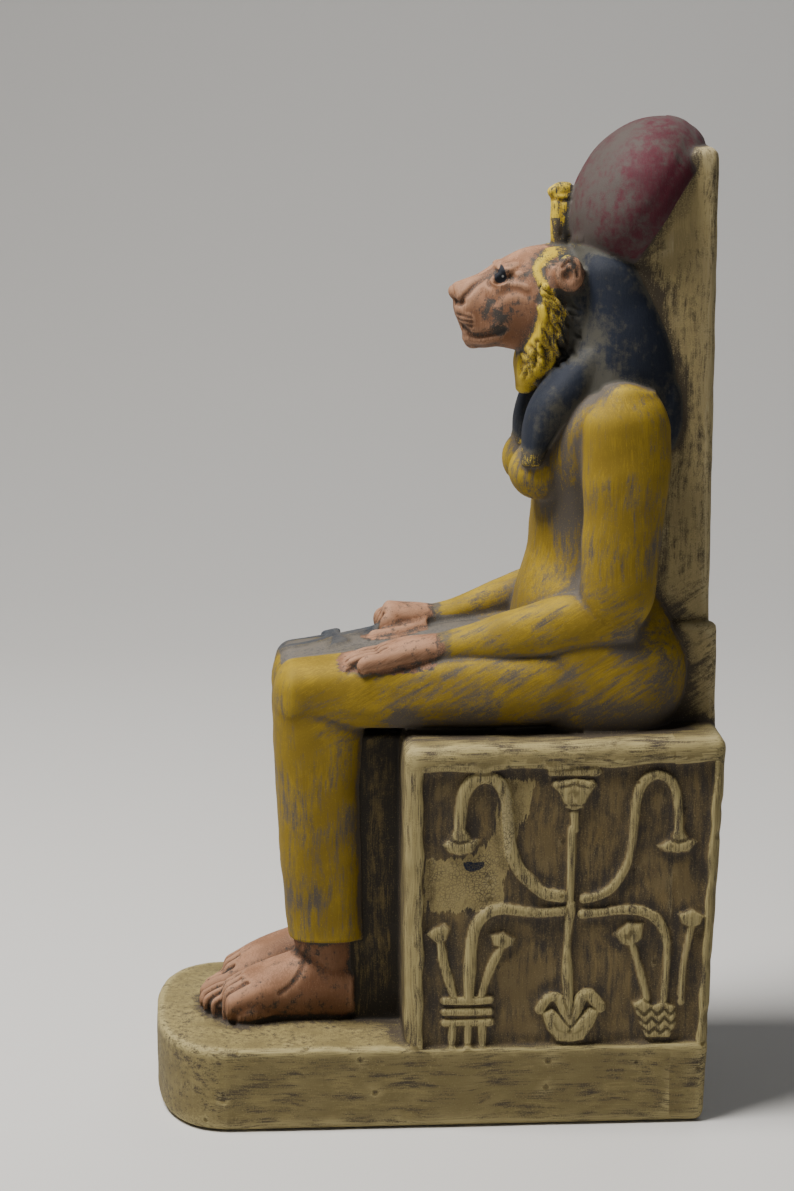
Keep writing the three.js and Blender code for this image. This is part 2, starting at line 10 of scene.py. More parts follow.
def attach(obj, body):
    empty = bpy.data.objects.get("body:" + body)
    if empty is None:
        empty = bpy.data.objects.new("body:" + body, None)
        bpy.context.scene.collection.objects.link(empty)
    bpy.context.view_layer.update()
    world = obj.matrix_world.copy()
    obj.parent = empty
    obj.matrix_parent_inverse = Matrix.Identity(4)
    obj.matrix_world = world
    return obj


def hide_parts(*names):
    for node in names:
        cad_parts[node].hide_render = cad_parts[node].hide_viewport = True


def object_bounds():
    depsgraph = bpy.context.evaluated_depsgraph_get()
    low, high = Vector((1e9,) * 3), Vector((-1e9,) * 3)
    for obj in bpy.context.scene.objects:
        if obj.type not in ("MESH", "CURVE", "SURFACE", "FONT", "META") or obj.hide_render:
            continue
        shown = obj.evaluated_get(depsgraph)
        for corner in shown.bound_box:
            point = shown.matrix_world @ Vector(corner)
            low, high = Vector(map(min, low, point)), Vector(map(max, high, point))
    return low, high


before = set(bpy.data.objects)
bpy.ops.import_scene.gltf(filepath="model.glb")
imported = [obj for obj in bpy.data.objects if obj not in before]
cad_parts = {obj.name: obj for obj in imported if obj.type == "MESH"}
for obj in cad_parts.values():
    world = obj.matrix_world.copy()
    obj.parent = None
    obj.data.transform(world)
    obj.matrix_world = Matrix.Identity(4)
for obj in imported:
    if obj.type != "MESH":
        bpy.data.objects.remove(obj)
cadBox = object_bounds()
print("frame loaded")

# All shapes are worked out in millimetres and made metres once, when the skin is finished
shot = {"lens": 136.0, "sensor": 36.0, "at": (892.0, -64.86, 349.08), "towards": (0.0, -10.3, 155.86)}
grid = {"slabFront": 66.05, "soles": 25.3}  # the figure is drawn from the slab's front and the soles


def metres(point):
    return Vector(point) * 0.001


def roundEdges(bm, edges, width, segments):
    bmesh.ops.bevel(bm, geom=edges, offset=width, affect="EDGES", segments=segments, profile=0.5, material=-1)


def addCamera():
    data = bpy.data.cameras.new("camera")
    data.sensor_fit = "HORIZONTAL"
    data.sensor_width = shot["sensor"]
    data.lens = shot["lens"]
    data.clip_start = 0.01
    data.clip_end = 30
    camera = bpy.data.objects.new("camera", data)
    bpy.context.collection.objects.link(camera)
    camera.location = metres(shot["at"])
    aim = metres(shot["towards"]) - camera.location
    camera.rotation_euler = aim.to_track_quat("-Z", "Y").to_euler()
    bpy.context.scene.camera = camera


studio = {
    "key": {"at": (0.13, -0.36, 1.0), "size": 0.42, "watts": 19.0, "tint": (1.0, 0.97, 0.93)},
    "fill": {"at": (1.3, 0.3, 0.6), "size": 1.2, "watts": 0.8, "tint": (0.93, 0.96, 1.0)},
    "back": {"at": (-0.9, 0.5, 1.1), "size": 0.9, "watts": 3.0, "tint": (0.95, 0.97, 1.0)},
    "aim": 0.13, "room": (0.035, 0.036, 0.039),
    "floor": (0.66, 0.65, 0.63), "floorHalf": 3.0, "wall": -1.4, "wallTop": 3.0, "cove": 0.8, "rough": 0.9,
}


def addLights():
    for name in ("key", "fill", "back"):
        values = studio[name]
        data = bpy.data.lights.new(name, "AREA")
        data.shape = "DISK"
        data.size = values["size"]
        data.energy = values["watts"]
        data.color = values["tint"]
        lamp = bpy.data.objects.new(name, data)
        bpy.context.collection.objects.link(lamp)
        lamp.location = values["at"]
        aim = Vector((0, 0, studio["aim"])) - lamp.location
        lamp.rotation_euler = aim.to_track_quat("-Z", "Y").to_euler()
    world = bpy.data.worlds.new("room")
    world.use_nodes = True
    world.node_tree.nodes["Background"].inputs[0].default_value = (*studio["room"], 1)
    bpy.context.scene.world = world


def addFloor():
    bm = bmesh.new()
    bmesh.ops.create_grid(bm, x_segments=1, y_segments=1, size=studio["floorHalf"])
    for v in bm.verts:
        v.co.x = max(v.co.x, studio["wall"])
    far = [e for e in bm.edges if all(v.co.x < studio["wall"] + 0.1 for v in e.verts)]
    wall = bmesh.ops.extrude_edge_only(bm, edges=far)["geom"]
    raised = [v for v in wall if isinstance(v, bmesh.types.BMVert)]
    bmesh.ops.translate(bm, vec=(0, 0, studio["wallTop"]), verts=raised)
    roundEdges(bm, far, studio["cove"], 12)
    bm.normal_update()
    bmesh.ops.reverse_faces(bm, faces=[f for f in bm.faces if f.normal.x + f.normal.z < 0])
    mesh = bpy.data.meshes.new("floor")
    bm.to_mesh(mesh)
    bm.free()
    for face in mesh.polygons:
        face.use_smooth = True
    floor = bpy.data.objects.new("floor", mesh)
    bpy.context.collection.objects.link(floor)
    paper = bpy.data.materials.new("palePaper")
    paper.use_nodes = True
    shader = paper.node_tree.nodes["Principled BSDF"]
    shader.inputs["Base Color"].default_value = (*studio["floor"], 1)
    shader.inputs["Roughness"].default_value = studio["rough"]
    nodes, links = paper.node_tree.nodes, paper.node_tree.links  # clear from behind, for views from there
    pick = nodes.new("ShaderNodeMixShader")
    links.new(nodes.new("ShaderNodeNewGeometry").outputs["Backfacing"], pick.inputs[0])
    links.new(shader.outputs[0], pick.inputs[1])
    links.new(nodes.new("ShaderNodeBsdfTransparent").outputs[0], pick.inputs[2])
    links.new(pick.outputs[0], nodes["Material Output"].inputs["Surface"])
    mesh.materials.append(paper)


addCamera()
addLights()
addFloor()
print("camera, lights and floor placed")

# Each paint has its own group of forms, so that later every point of the skin knows what it was
shapes = {name: bmesh.new() for name in ("stone", "slab", "web", "dress", "skin", "wig", "trim", "disc",
                                         "ankh")}


def place(side, forward, up):  # from the figure's grid to the statue's frame
    y = grid["slabFront"] - np.asarray(forward, float)
    z = grid["soles"] + np.asarray(up, float)
    return np.stack(np.broadcast_arrays(side, y, z), -1).astype(float)


def onGrid(co):  # side, forward and up of each point
    return np.stack([co[:, 0], grid["slabFront"] - co[:, 1], co[:, 2] - grid["soles"]], 1)


def folded(spots):  # both halves of the figure as one
    return np.column_stack([np.abs(spots[:, 0]), spots[:, 1:]])


def sectionAt(rings, t):  # a smooth curve through the listed cross-sections
    last = len(rings) - 1
    at = np.clip(t, 0, 1) * last
    index = np.minimum(at.astype(int), last - 1)
    f = (at - index)[:, None]
    a, b, c, d = (rings[np.clip(index + k, 0, last)] for k in (-1, 0, 1, 2))
    return b + 0.5 * f * (c - a + f * (2 * a - 5 * b + 4 * c - d + f * (3 * (b - c) + d - a)))


def powered(value, power):  # its sign kept
    return np.sign(value) * np.abs(value) ** power


# A closed form through rings of (side, forward, up, half width, half depth, squareness, egg)
def loft(group, rings, lie="level", rounds=(0, 0), sides=40, perRing=9, both=False):
    rings = np.array([tuple(r) + (2, 0)[len(r) - 5:] for r in rings], float)
    caps = [7 if length > 0 else 1 for length in rounds]
    steps = perRing * (len(rings) - 1)
    rows = caps[0] + steps + caps[1]
    for way in (1, -1) if both else (1,):
        bm = shapes[group]
        ball = bmesh.ops.create_uvsphere(bm, u_segments=sides, v_segments=rows, radius=1)["verts"]
        co = np.array([v.co for v in ball])
        row = np.rint(np.arccos(np.clip(co[:, 2], -1, 1)) / pi * rows)
        angle = np.arctan2(co[:, 1], co[:, 0])
        fromStart = row / caps[0]
        fromEnd = (rows - row) / caps[1]
        bend = np.minimum(np.minimum(fromStart, fromEnd), 1) * pi / 2
        over = np.where(fromStart < 1, -rounds[0] * np.cos(bend), rounds[1] * np.cos(bend))
        t = np.clip((row - caps[0]) / steps, 0, 1)
        side, forward, up, across, deep, square, egg = sectionAt(rings, t).T
        run = sectionAt(rings, np.minimum(t + 1e-3, 1)) - sectionAt(rings, np.maximum(t - 1e-3, 0))
        run = run[:, 1:3]
        run /= np.maximum(np.linalg.norm(run, axis=1), 1e-9)[:, None]
        deepAxis = {"level": np.array([[1.0, 0.0]]), "upright": np.array([[0.0, 1.0]])}.get(lie)
        deepAxis = np.stack([-run[:, 1], run[:, 0]], 1) if deepAxis is None else np.repeat(deepAxis, len(run),
                                                                                           0)
        power = 2 / square
        wide = across * np.sin(bend) * powered(np.cos(angle), power) * (1 + egg * np.sin(angle))
        thick = deep * np.sin(bend) * powered(np.sin(angle), power)
        spots = place(way * (side + wide), forward + deepAxis[:, 0] * thick + run[:, 0] * over,
                      up + deepAxis[:, 1] * thick + run[:, 1] * over)
        for vert, spot in zip(ball, spots):
            vert.co = spot


# An egg-shaped bump at a place of the figure, tipped forward by an angle
def bump(group, at, size, tip=0.0, both=False):
    for way in (1, -1) if both else (1,):
        bm = shapes[group]
        ball = bmesh.ops.create_uvsphere(bm, u_segments=24, v_segments=16, radius=1)["verts"]
        bmesh.ops.scale(bm, vec=size, verts=ball)
        bmesh.ops.rotate(bm, cent=(0, 0, 0), matrix=Matrix.Rotation(tip, 3, "X"), verts=ball)
        bmesh.ops.translate(bm, vec=place(way * at[0], at[1], at[2]), verts=ball)


def addMesh(bm, group):  # a finished mesh into its paint's group
    mesh = bpy.data.meshes.new(group)
    bm.to_mesh(mesh)
    bm.free()
    shapes[group].from_mesh(mesh)
    bpy.data.meshes.remove(mesh)


# An upright block on a plan outline, its top and bottom edges rounded
def block(group, outline, bottom, top, edges=(2.0, 2.0), segments=4):
    bm = bmesh.new()
    face = bm.faces.new([bm.verts.new((x, y, bottom)) for x, y in outline])
    lifted = bmesh.ops.extrude_face_region(bm, geom=[face])["geom"]
    raised = [v for v in lifted if isinstance(v, bmesh.types.BMVert)]
    bmesh.ops.translate(bm, vec=(0, 0, top - bottom), verts=raised)
    bmesh.ops.recalc_face_normals(bm, faces=bm.faces)
    for level, width in zip((bottom, top), edges):
        rim = [e for e in bm.edges if all(abs(v.co.z - level) < 1e-4 for v in e.verts)]
        roundEdges(bm, rim, width, segments)
    start = len(shapes[group].verts)
    addMesh(bm, group)
    shapes[group].verts.ensure_lookup_table()
    return shapes[group].verts[start:]


def roundedPlan(half, front, rear, corner, steps=6):
    plan = []
    for x, y, start in ((half, rear, 0), (-half, rear, 90), (-half, front, 180), (half, front, 270)):
        cx, cy = x - np.sign(x) * corner, y + (corner if y == front else -corner)
        for i in range(steps + 1):
            a = radians(start + 90 * i / steps)
            plan.append((cx + corner * np.cos(a), cy + corner * np.sin(a)))
    return plan


disc = {"at": (0, 4, 250.8), "wide": 24.5, "deep": 19.0, "tall": 26.5, "cut": 6.5, "lean": 0.568}


def atDisc(spot, moved=1):  # from the disc's own axes to the statue's
    return Matrix.Rotation(-disc["lean"], 3, "X") @ Vector(spot) + moved * Vector(place(*disc["at"]))


base = {"half": 42.0, "height": 25.3, "nose": -85.45, "noseDepth": 25.0, "noseCorner": 2.5, "rear": 85.45,
        "rearCorner": 3.0, "edges": (3.0, 1.6), "lean": 5.0, "swell": 2.0, "noseRise": 1.0}
throne = {"half": 41.6, "front": -10.45, "top": 118.3, "edge": 3.6, "rise": 2.0}
slab = {"half": 18.0, "front": 58.05, "rear": 83.05, "top": 291.8, "edge": 2.5,
        "footHalf": 20.5, "footTop": 151.3, "ledge": 2.4, "ledgeTall": 31}
web = {"half": 17.0, "front": -25.9}


def leanRear(verts):  # the rear of base and throne leans in towards the floor
    for v in verts:
        back = min(max((v.co.y - throne["front"]) / (base["rear"] - throne["front"]), 0), 1)
        v.co.y -= base["lean"] * back * max(0, 1 - v.co.z / (throne["top"] - throne["edge"]))


def makeStonework():
    half, nose, depth = base["half"], base["nose"], base["noseDepth"]
    plan = []
    for i in range(33):
        a = pi * (1 - i / 32)
        power = 2 / base["noseCorner"]
        plan.append((half * powered(np.cos(a), power), nose + depth * (1 - abs(np.sin(a)) ** power)))
    corner = base["rearCorner"]
    for x, start in ((half - corner, 0), (-half + corner, 90)):
        for i in range(6):
            a = radians(start + 18 * i)
            plan.append((x + corner * np.cos(a), base["rear"] - corner + corner * np.sin(a)))
    plinth = block("stone", plan, 0, base["height"], base["edges"])
    leanRear(plinth)
    for v in plinth:
        if v.co.z > base["height"] - 2.5:
            v.co.z += base["noseRise"] * min(max((throne["front"] - v.co.y) / (throne["front"] - nose), 0), 1)
    plan = roundedPlan(throne["half"], throne["front"], base["rear"], 4)
    seat = block("stone", plan, 2, throne["top"], (1, throne["edge"]))
    for v in seat:
        if v.co.z > throne["top"] - 2 * throne["edge"]:
            v.co.z += throne["rise"] * (v.co.y - throne["front"]) / (base["rear"] - throne["front"])
    leanRear(seat)
    plan = roundedPlan(slab["half"], slab["front"], slab["rear"], 2.6)
    block("slab", plan, throne["top"] - 2, slab["top"], (1, slab["edge"]))
    bm = shapes["slab"]
    where, facing = atDisc((0, disc["cut"] - 1, 0)), atDisc((0, 1, 0), 0)
    whole = bm.verts[:] + bm.edges[:] + bm.faces[:]
    cut = bmesh.ops.bisect_plane(bm, geom=whole, plane_co=where, plane_no=facing, clear_inner=True)
    bmesh.ops.holes_fill(bm, edges=[e for e in cut["geom_cut"] if isinstance(e, bmesh.types.BMEdge)])
    plan = roundedPlan(slab["footHalf"], slab["front"], base["rear"], 3)
    foot = block("slab", plan, throne["top"] - 2.5, slab["footTop"], (1, 3))
    for v in foot:
        if v.co.y > grid["slabFront"]:
            v.co.y -= slab["ledge"] * min(max((v.co.z - throne["top"]) / slab["ledgeTall"], 0), 1)
    plan = roundedPlan(web["half"], web["front"], throne["front"] + 2, 3)
    block("web", plan, base["height"] - 2, throne["top"] - 2, (1, 1))
    middle = (nose + throne["front"]) / 2
    bm = shapes["stone"]
    ball = bmesh.ops.create_uvsphere(bm, u_segments=48, v_segments=32, radius=1)["verts"]
    bmesh.ops.scale(bm, vec=(half - 2, throne["front"] - middle - 1, base["swell"] + 4), verts=ball)
    bmesh.ops.translate(bm, vec=(0, middle, base["height"] - 4), verts=ball)


toes = {"count": 5, "side": 3.8, "spread": 16, "tip": 138.5, "slope": 11, "bend": 1.6}
body = {
    "trunk": [(0, 13, 200, 20, 10), (0, 15, 191, 29, 15, 2.2), (0, 18.5, 176, 26, 18, 2.2),
              (0, 18, 160, 22, 17.5, 2.2), (0, 18, 145, 22.5, 18.5, 2.3), (0, 17, 130, 28.5, 23, 2.6),
              (0, 15, 117, 32.8, 26.3, 3), (0, 14.6, 105, 33.3, 25.9, 3.1), (0, 14.6, 95.5, 31, 22.5, 3)],
    "thigh": [(15.5, 12, 109.5, 17, 14.5, 2.4), (15.5, 45, 107.2, 16.5, 13.4, 2.5),
              (13, 76, 105.2, 13.6, 11.7, 2.8), (11, 99, 103.8, 11.8, 10.6, 3),
              (10.6, 108, 103.2, 11.3, 10, 2.8)],
    "shin": [(10.6, 100.5, 104, 10.5, 12.6, 2.7), (10.6, 100.7, 95, 11.3, 13.8, 2.8),
             (10.6, 101, 76, 11.3, 12.8, 2.8), (10.6, 100.3, 55, 11.2, 12.6, 2.8),
             (10.8, 99, 27, 11.4, 11.5, 2.8)],
    "foot": [(10.5, 91, 9.5, 7.8, 9, 2.3), (10.6, 101, 11.5, 8.6, 12, 2.3), (10.9, 112, 10.3, 9.7, 10, 2.3),
             (11.2, 122, 8.2, 10.3, 7.6, 2.3), (11.5, 129, 6, 10, 5.8, 2.3)],
    "ankle": [(10.5, 100, 34, 8.5, 10), (10.5, 99, 20, 8, 9.5), (10.5, 98, 8, 7.5, 9)],
    "upperArm": [(24, 9.5, 197, 7, 8), (26, 10.5, 189, 8.6, 12.4, 2.2), (26.5, 10.3, 176, 8.8, 13.2, 2.2),
                 (27, 11, 160, 8.2, 12.2, 2.2), (27.5, 12, 146, 7.8, 11.5, 2.2),
                 (27.5, 13, 133, 7.6, 11, 2.2), (27, 14.5, 126.5, 6.5, 9, 2.2)],
    "forearm": [(27, 9, 128, 7, 6.6, 2.2), (26, 26, 127.2, 7.2, 8.6, 2.2), (23.5, 44, 123, 6.6, 7.3, 2.2),
                (20.5, 58, 119.6, 5.6, 5.4, 2.2), (19.5, 67, 118.2, 5.2, 4.5, 2.2)],
}


def toeAt(share):  # side and tip of a toe, from the big one (0) to the small one (1)
    return toes["side"] + toes["spread"] * share, toes["tip"] - toes["slope"] * share ** toes["bend"]


def makeBody():
    loft("dress", body["trunk"], "level", (3, 2.5), 64)
    bump("dress", (11, 34.5, 171), (9.5, 9, 9), both=True)
    loft("dress", body["thigh"], "upright", (0, 6.4), 48, both=True)
    loft("dress", body["shin"], "level", (4, 0), 48, both=True)
    loft("skin", body["foot"], "upright", (0, 2.5), both=True)
    loft("skin", body["ankle"], both=True)
    for share in np.linspace(0, 1, toes["count"]):
        half = 2.9 - 1.1 * share ** 0.5
        side, tip = toeAt(share)
        tip -= half * 0.9
        rings = [(side - 1.6 * share, tip - 11, 6.6, half, 3.6), (side, tip - 4, 5.2, half, 3.6),
                 (side, tip, 4, half * 0.95, 2.9)]
        loft("skin", rings, "upright", (0, half * 0.9), 20, 6, both=True)
    loft("dress", body["upperArm"], "level", (2, 2), both=True)
    loft("dress", body["forearm"], "upright", (3, 0), both=True)


hands = {
    "palm": [(19.8, 63, 118.8, 5.2, 4.5), (18.5, 74, 117.6, 7.4, 4.3, 2.4), (18, 82, 115.8, 7.6, 3.6, 2.5)],
    "thumb": [(15, 66, 118.4, 2.4, 3), (10.6, 74, 117, 2.3, 2.7), (9.6, 81, 115.4, 1.9, 2.3)],
    "fist": [(-19.8, 63, 118.8, 5.2, 4.4), (-19, 71, 119.3, 6.6, 4.9, 2.4),
             (-18.5, 77.5, 119.8, 6.6, 5.4, 2.4)],
    "finger": (12.5, 3.7), "knuckle": (-23.5, 3.5),  # side of the first one, and the step to the next
    "fistThumb": [(-14, 66, 117.6, 2.4, 3), (-10.5, 75, 116.4, 2.1, 2.3), (-10, 83, 115.6, 1.9, 2.1)],
}
ankh = {"start": (-17.5, 68.0), "lapTop": 112.2, "thick": 3.0, "sink": 1.5, "turn": -0.12, "droop": 0.22,
        "arms": 27.0}


def onAnkh(x, y):
    side, forward = ankh["start"]
    cos, sin = np.cos(ankh["turn"]), np.sin(ankh["turn"])
    return side + x * cos - y * sin, forward + x * sin + y * cos


def ankhLoop():  # its outline seen from above, from the arms to the knee
    turns = np.linspace(-0.5 * pi, 1.5 * pi, 17)
    return np.array([onAnkh(4.2 * np.cos(a) * (1 + 0.25 * np.sin(a)), 36.5 + 7.5 * np.sin(a)) for a in turns])


def makeHands():
    loft("skin", hands["palm"], "upright", (0, 2))
    for i in range(4):
        side = hands["finger"][0] + hands["finger"][1] * i
        reach = 93.5 - 1.1 * (i - 1.2) ** 2
        rings = [(side, 78, 116, 2, 2.6), (side, 86, 115, 1.95, 2.5), (side, reach - 1.8, 113.8, 1.7, 2)]
        loft("skin", rings, "along", (0, 1.6), 20)
    loft("skin", hands["thumb"], "along", (0, 1.6), 20)
    loft("skin", hands["fist"], "upright", (0, 3))
    for i in range(4):
        side = hands["knuckle"][0] + hands["knuckle"][1] * i
        bump("skin", (side, 79 - 0.4 * i, 118), (2, 3.6, 4.3))
    loft("skin", hands["fistThumb"], "along", (0, 1.6), 20)
    arms = ankh["arms"]
    half = [(1.6, 0), (1.6, arms - 1.5), (8.5, arms - 3), (9.5, arms + 3), (1.9, arms + 1.5), (4, 43)]
    plan = half + [(-x, y) for x, y in reversed(half)]
    turn = Matrix.Rotation(ankh["turn"], 3, "Z")
    for v in block("ankh", plan, 0, ankh["thick"] + ankh["sink"], (0.3, 0.7), 2):
        spot = turn @ v.co
        up = ankh["lapTop"] - ankh["sink"] + spot.z + ankh["droop"] * (arms - spot.y)
        v.co = place(ankh["start"][0] + spot.x, ankh["start"][1] + spot.y, up)


head = {
    "skull": [(0, 22, 220, 17.5, 17.5, 2.2), (0, 32, 220, 16.8, 17, 2.2, -0.05),
              (0, 40, 220.5, 14.8, 15, 2.2, -0.08), (0, 46, 219.4, 12.3, 12.9, 2.2, -0.12),
              (0, 51.5, 217.4, 9.8, 11.4, 2.3, -0.1), (0, 56, 218, 8.2, 8.8, 2.4),
              (0, 58.6, 220.6, 6.4, 5.2, 2.4)],
    "collar": [(0, 30.5, 232, 16.6, 3.6, 3), (0, 30.8, 221, 18.2, 5.6, 3.6), (0, 32, 211, 18, 6.6, 3.6),
               (0, 35, 202, 14, 5.8, 3.4), (0, 37.5, 195, 6, 3, 2.4)],
    "hood": [(0, 27, 235, 3.2, 3.4), (0, 27.3, 243, 3.8, 3.4, 2.2), (0, 27.3, 251.4, 2.9, 3.3, 2.2)],
    "snout": [(0, 25, 253, 1.8, 2.4), (0, 28, 253.2, 2.2, 2.1), (0, 30.6, 252.8, 1.8, 1.6)],
}
features = {  # place, size, tip, on both sides or not
    "nose": ((0, 58.6, 223), (3.7, 2.5, 2.1), -0.4, False),
    "chin": ((0, 53.3, 208.6), (4.8, 3.2, 2.9), 0, False),
    "muzzle": ((4.8, 54, 216.2), (4.3, 4.4, 4.4), 0, True),
    "brow": ((7.4, 43.6, 231), (3.2, 4.2, 2), 0.4, True),
    "eyeball": ((9, 46.2, 228.4), (1.7, 2.3, 2.3), 0, True),
    "ear": ((18, 26.7, 230.2), (3.2, 4.4, 5.5), 0, True),
}
wig = {
    "crown": [(0, 16.5, 236.5, 16.5, 8.8), (0, 14.2, 231.3, 20.6, 12, 2.2), (0, 11.3, 221, 22, 14.4, 2.3),
              (0, 9.8, 211, 23.5, 17.4, 2.3), (0, 10.8, 199, 24.5, 20.8, 2.4), (0, 11.7, 187, 24, 22, 2.4)],
    "backLobe": [(0, 4, 212, 18, 8, 2.3), (0, -0.5, 196, 21, 9.3, 2.5), (0, -1, 186, 21.5, 9.3, 2.6),
                 (0, 1, 178.5, 21, 8.8, 2.7)],
    "lappet": [(14, 17, 208, 8, 7, 2.2), (14.5, 27, 195, 9.2, 8.8, 2.4), (13.7, 34.3, 184, 9.2, 5.1, 2.6),
               (13, 37, 175.5, 9, 2.9, 2.7)],
    "band": [(13.1, 36.6, 177.6, 9.2, 3.6, 2.8), (13, 37.4, 174, 9.1, 3.2, 2.8)],
}


def makeHead():
    loft("skin", head["skull"], "upright", (0, 1.2), 56)
    for at, size, tip, both in features.values():
        bump("skin", at, size, tip, both)
    loft("trim", head["collar"], "level", (1.5, 2.5), 56)
    for share in np.linspace(0, 1, 5):  # locks that stand out of the ruff, from the ear down
        side = 18.2 - 9.5 * share ** 2
        up = 225 - 22 * share
        rings = [(side - 0.6, 34.5 + 2.5 * share, up + 1, 1, 1.2), (side, 31 + 4 * share, up - 3, 1.4, 2.6),
                 (side - 0.4, 26 + 7 * share, up - 8.5, 0.8, 0.8)]
        loft("trim", rings, "along", (0.6, 0.6), 16, both=True)
    loft("trim", head["hood"], "level", (1, 1), 32)
    loft("trim", head["snout"], "upright", (0.8, 0.9), 32)
    loft("wig", wig["crown"], "level", (3, 0), 64)
    loft("wig", wig["backLobe"], "level", (0, 1.5), 56)
    loft("wig", wig["lappet"], "level", (0, 1.2), both=True)
    loft("trim", wig["band"], "level", (0.8, 0.8), both=True)


def makeDisc():
    cut = disc["cut"] / disc["deep"]
    end = np.arccos(-cut)
    profile = [(np.sin(a), -np.cos(a)) for a in np.linspace(0, end, 25)] + [(0.9 * np.sin(end), cut),
                                                                            (0, cut)]
    profile = [(r * (1 - 0.02 * np.exp(-((y - 0.06) / 0.035) ** 2)), y) for r,
               y in profile]  # a faint line round it
    bm = bmesh.new()
    verts = [bm.verts.new((r, y, 0)) for r, y in profile]
    edges = [bm.edges.new(pair) for pair in zip(verts, verts[1:])]
    bmesh.ops.spin(bm, geom=verts + edges, cent=(0, 0, 0), axis=(0, 1, 0), angle=2 * pi, steps=72,
                   use_merge=True)
    bmesh.ops.remove_doubles(bm, verts=bm.verts, dist=1e-5)
    bmesh.ops.scale(bm, vec=(disc["wide"], disc["deep"], disc["tall"]), verts=bm.verts)
    for v in bm.verts:
        v.co = atDisc(v.co)
    addMesh(bm, "disc")


makeStonework()
makeBody()
makeHands()
makeHead()
makeDisc()
for bm in shapes.values():
    bmesh.ops.remove_doubles(bm, verts=bm.verts, dist=1e-4)
    bmesh.ops.recalc_face_normals(bm, faces=bm.faces)
print("forms made")

skin = {"voxel": 0.55, "smooth": 3, "triangles": 194000, "care": 0.02, "fine": 3, "broad": 36}
kept = {"face": 1.0, "limbs": 0.8, "sides": 0.5}  # how much of the fine mesh stays where


def coordinates(mesh):
    co = np.empty(len(mesh.vertices) * 3)
    mesh.vertices.foreach_get("co", co)
    return co.reshape(-1, 3)


def normals(mesh):
    out = np.empty(len(mesh.vertices) * 3, np.float32)
    mesh.vertex_normals.foreach_get("vector", out)
    return out.reshape(-1, 3).astype(float)


def edgeList(mesh):
    out = np.empty(len(mesh.edges) * 2, np.int64)
    mesh.edges.foreach_get("vertices", out)
    return out.reshape(-1, 2)


def setCoordinates(mesh, co):
    mesh.vertices.foreach_set("co", co.ravel())
    mesh.update()


def neighbourMean(values, edges):
    a, b = edges.T
    n = len(values)
    count = np.bincount(a, minlength=n) + np.bincount(b, minlength=n)
    total = [np.bincount(a, column[b], n) + np.bincount(b, column[a], n) for column in values.T]
    return np.stack(total, 1) / np.maximum(count, 1)[:, None]


def applyModifiers(obj):
    evaluated = obj.evaluated_get(bpy.context.evaluated_depsgraph_get())
    mesh = bpy.data.meshes.new_from_object(evaluated)
    obj.modifiers.clear()
    old = obj.data
    obj.data = mesh
    bpy.data.meshes.remove(old)
    return mesh


def fuse():  # one closed skin over all forms
    whole = bmesh.new()
    for name, bm in shapes.items():
        part = bpy.data.meshes.new(name)
        bm.to_mesh(part)
        whole.from_mesh(part)
        bpy.data.meshes.remove(part)
    mesh = bpy.data.meshes.new("paintedStatue")
    whole.to_mesh(mesh)
    whole.free()
    statue = bpy.data.objects.new("paintedStatue", mesh)
    bpy.context.collection.objects.link(statue)
    remesh = statue.modifiers.new("fuse", "REMESH")
    remesh.mode = "VOXEL"
    remesh.voxel_size = skin["voxel"]
    mesh = applyModifiers(statue)
    co, edges = coordinates(mesh), edgeList(mesh)
    for _ in range(skin["smooth"]):
        co += 0.5 * (neighbourMean(co, edges) - co)
    setCoordinates(mesh, co)
    return statue


statue = fuse()
print("skin fused:", len(statue.data.vertices), "points")

panel = {"half": throne["half"], "front": -5.45, "rear": 81.95, "foot": base["height"], "top": 111.6,
         "depth": 1.8, "middle": 37.0, "share": 0.85}
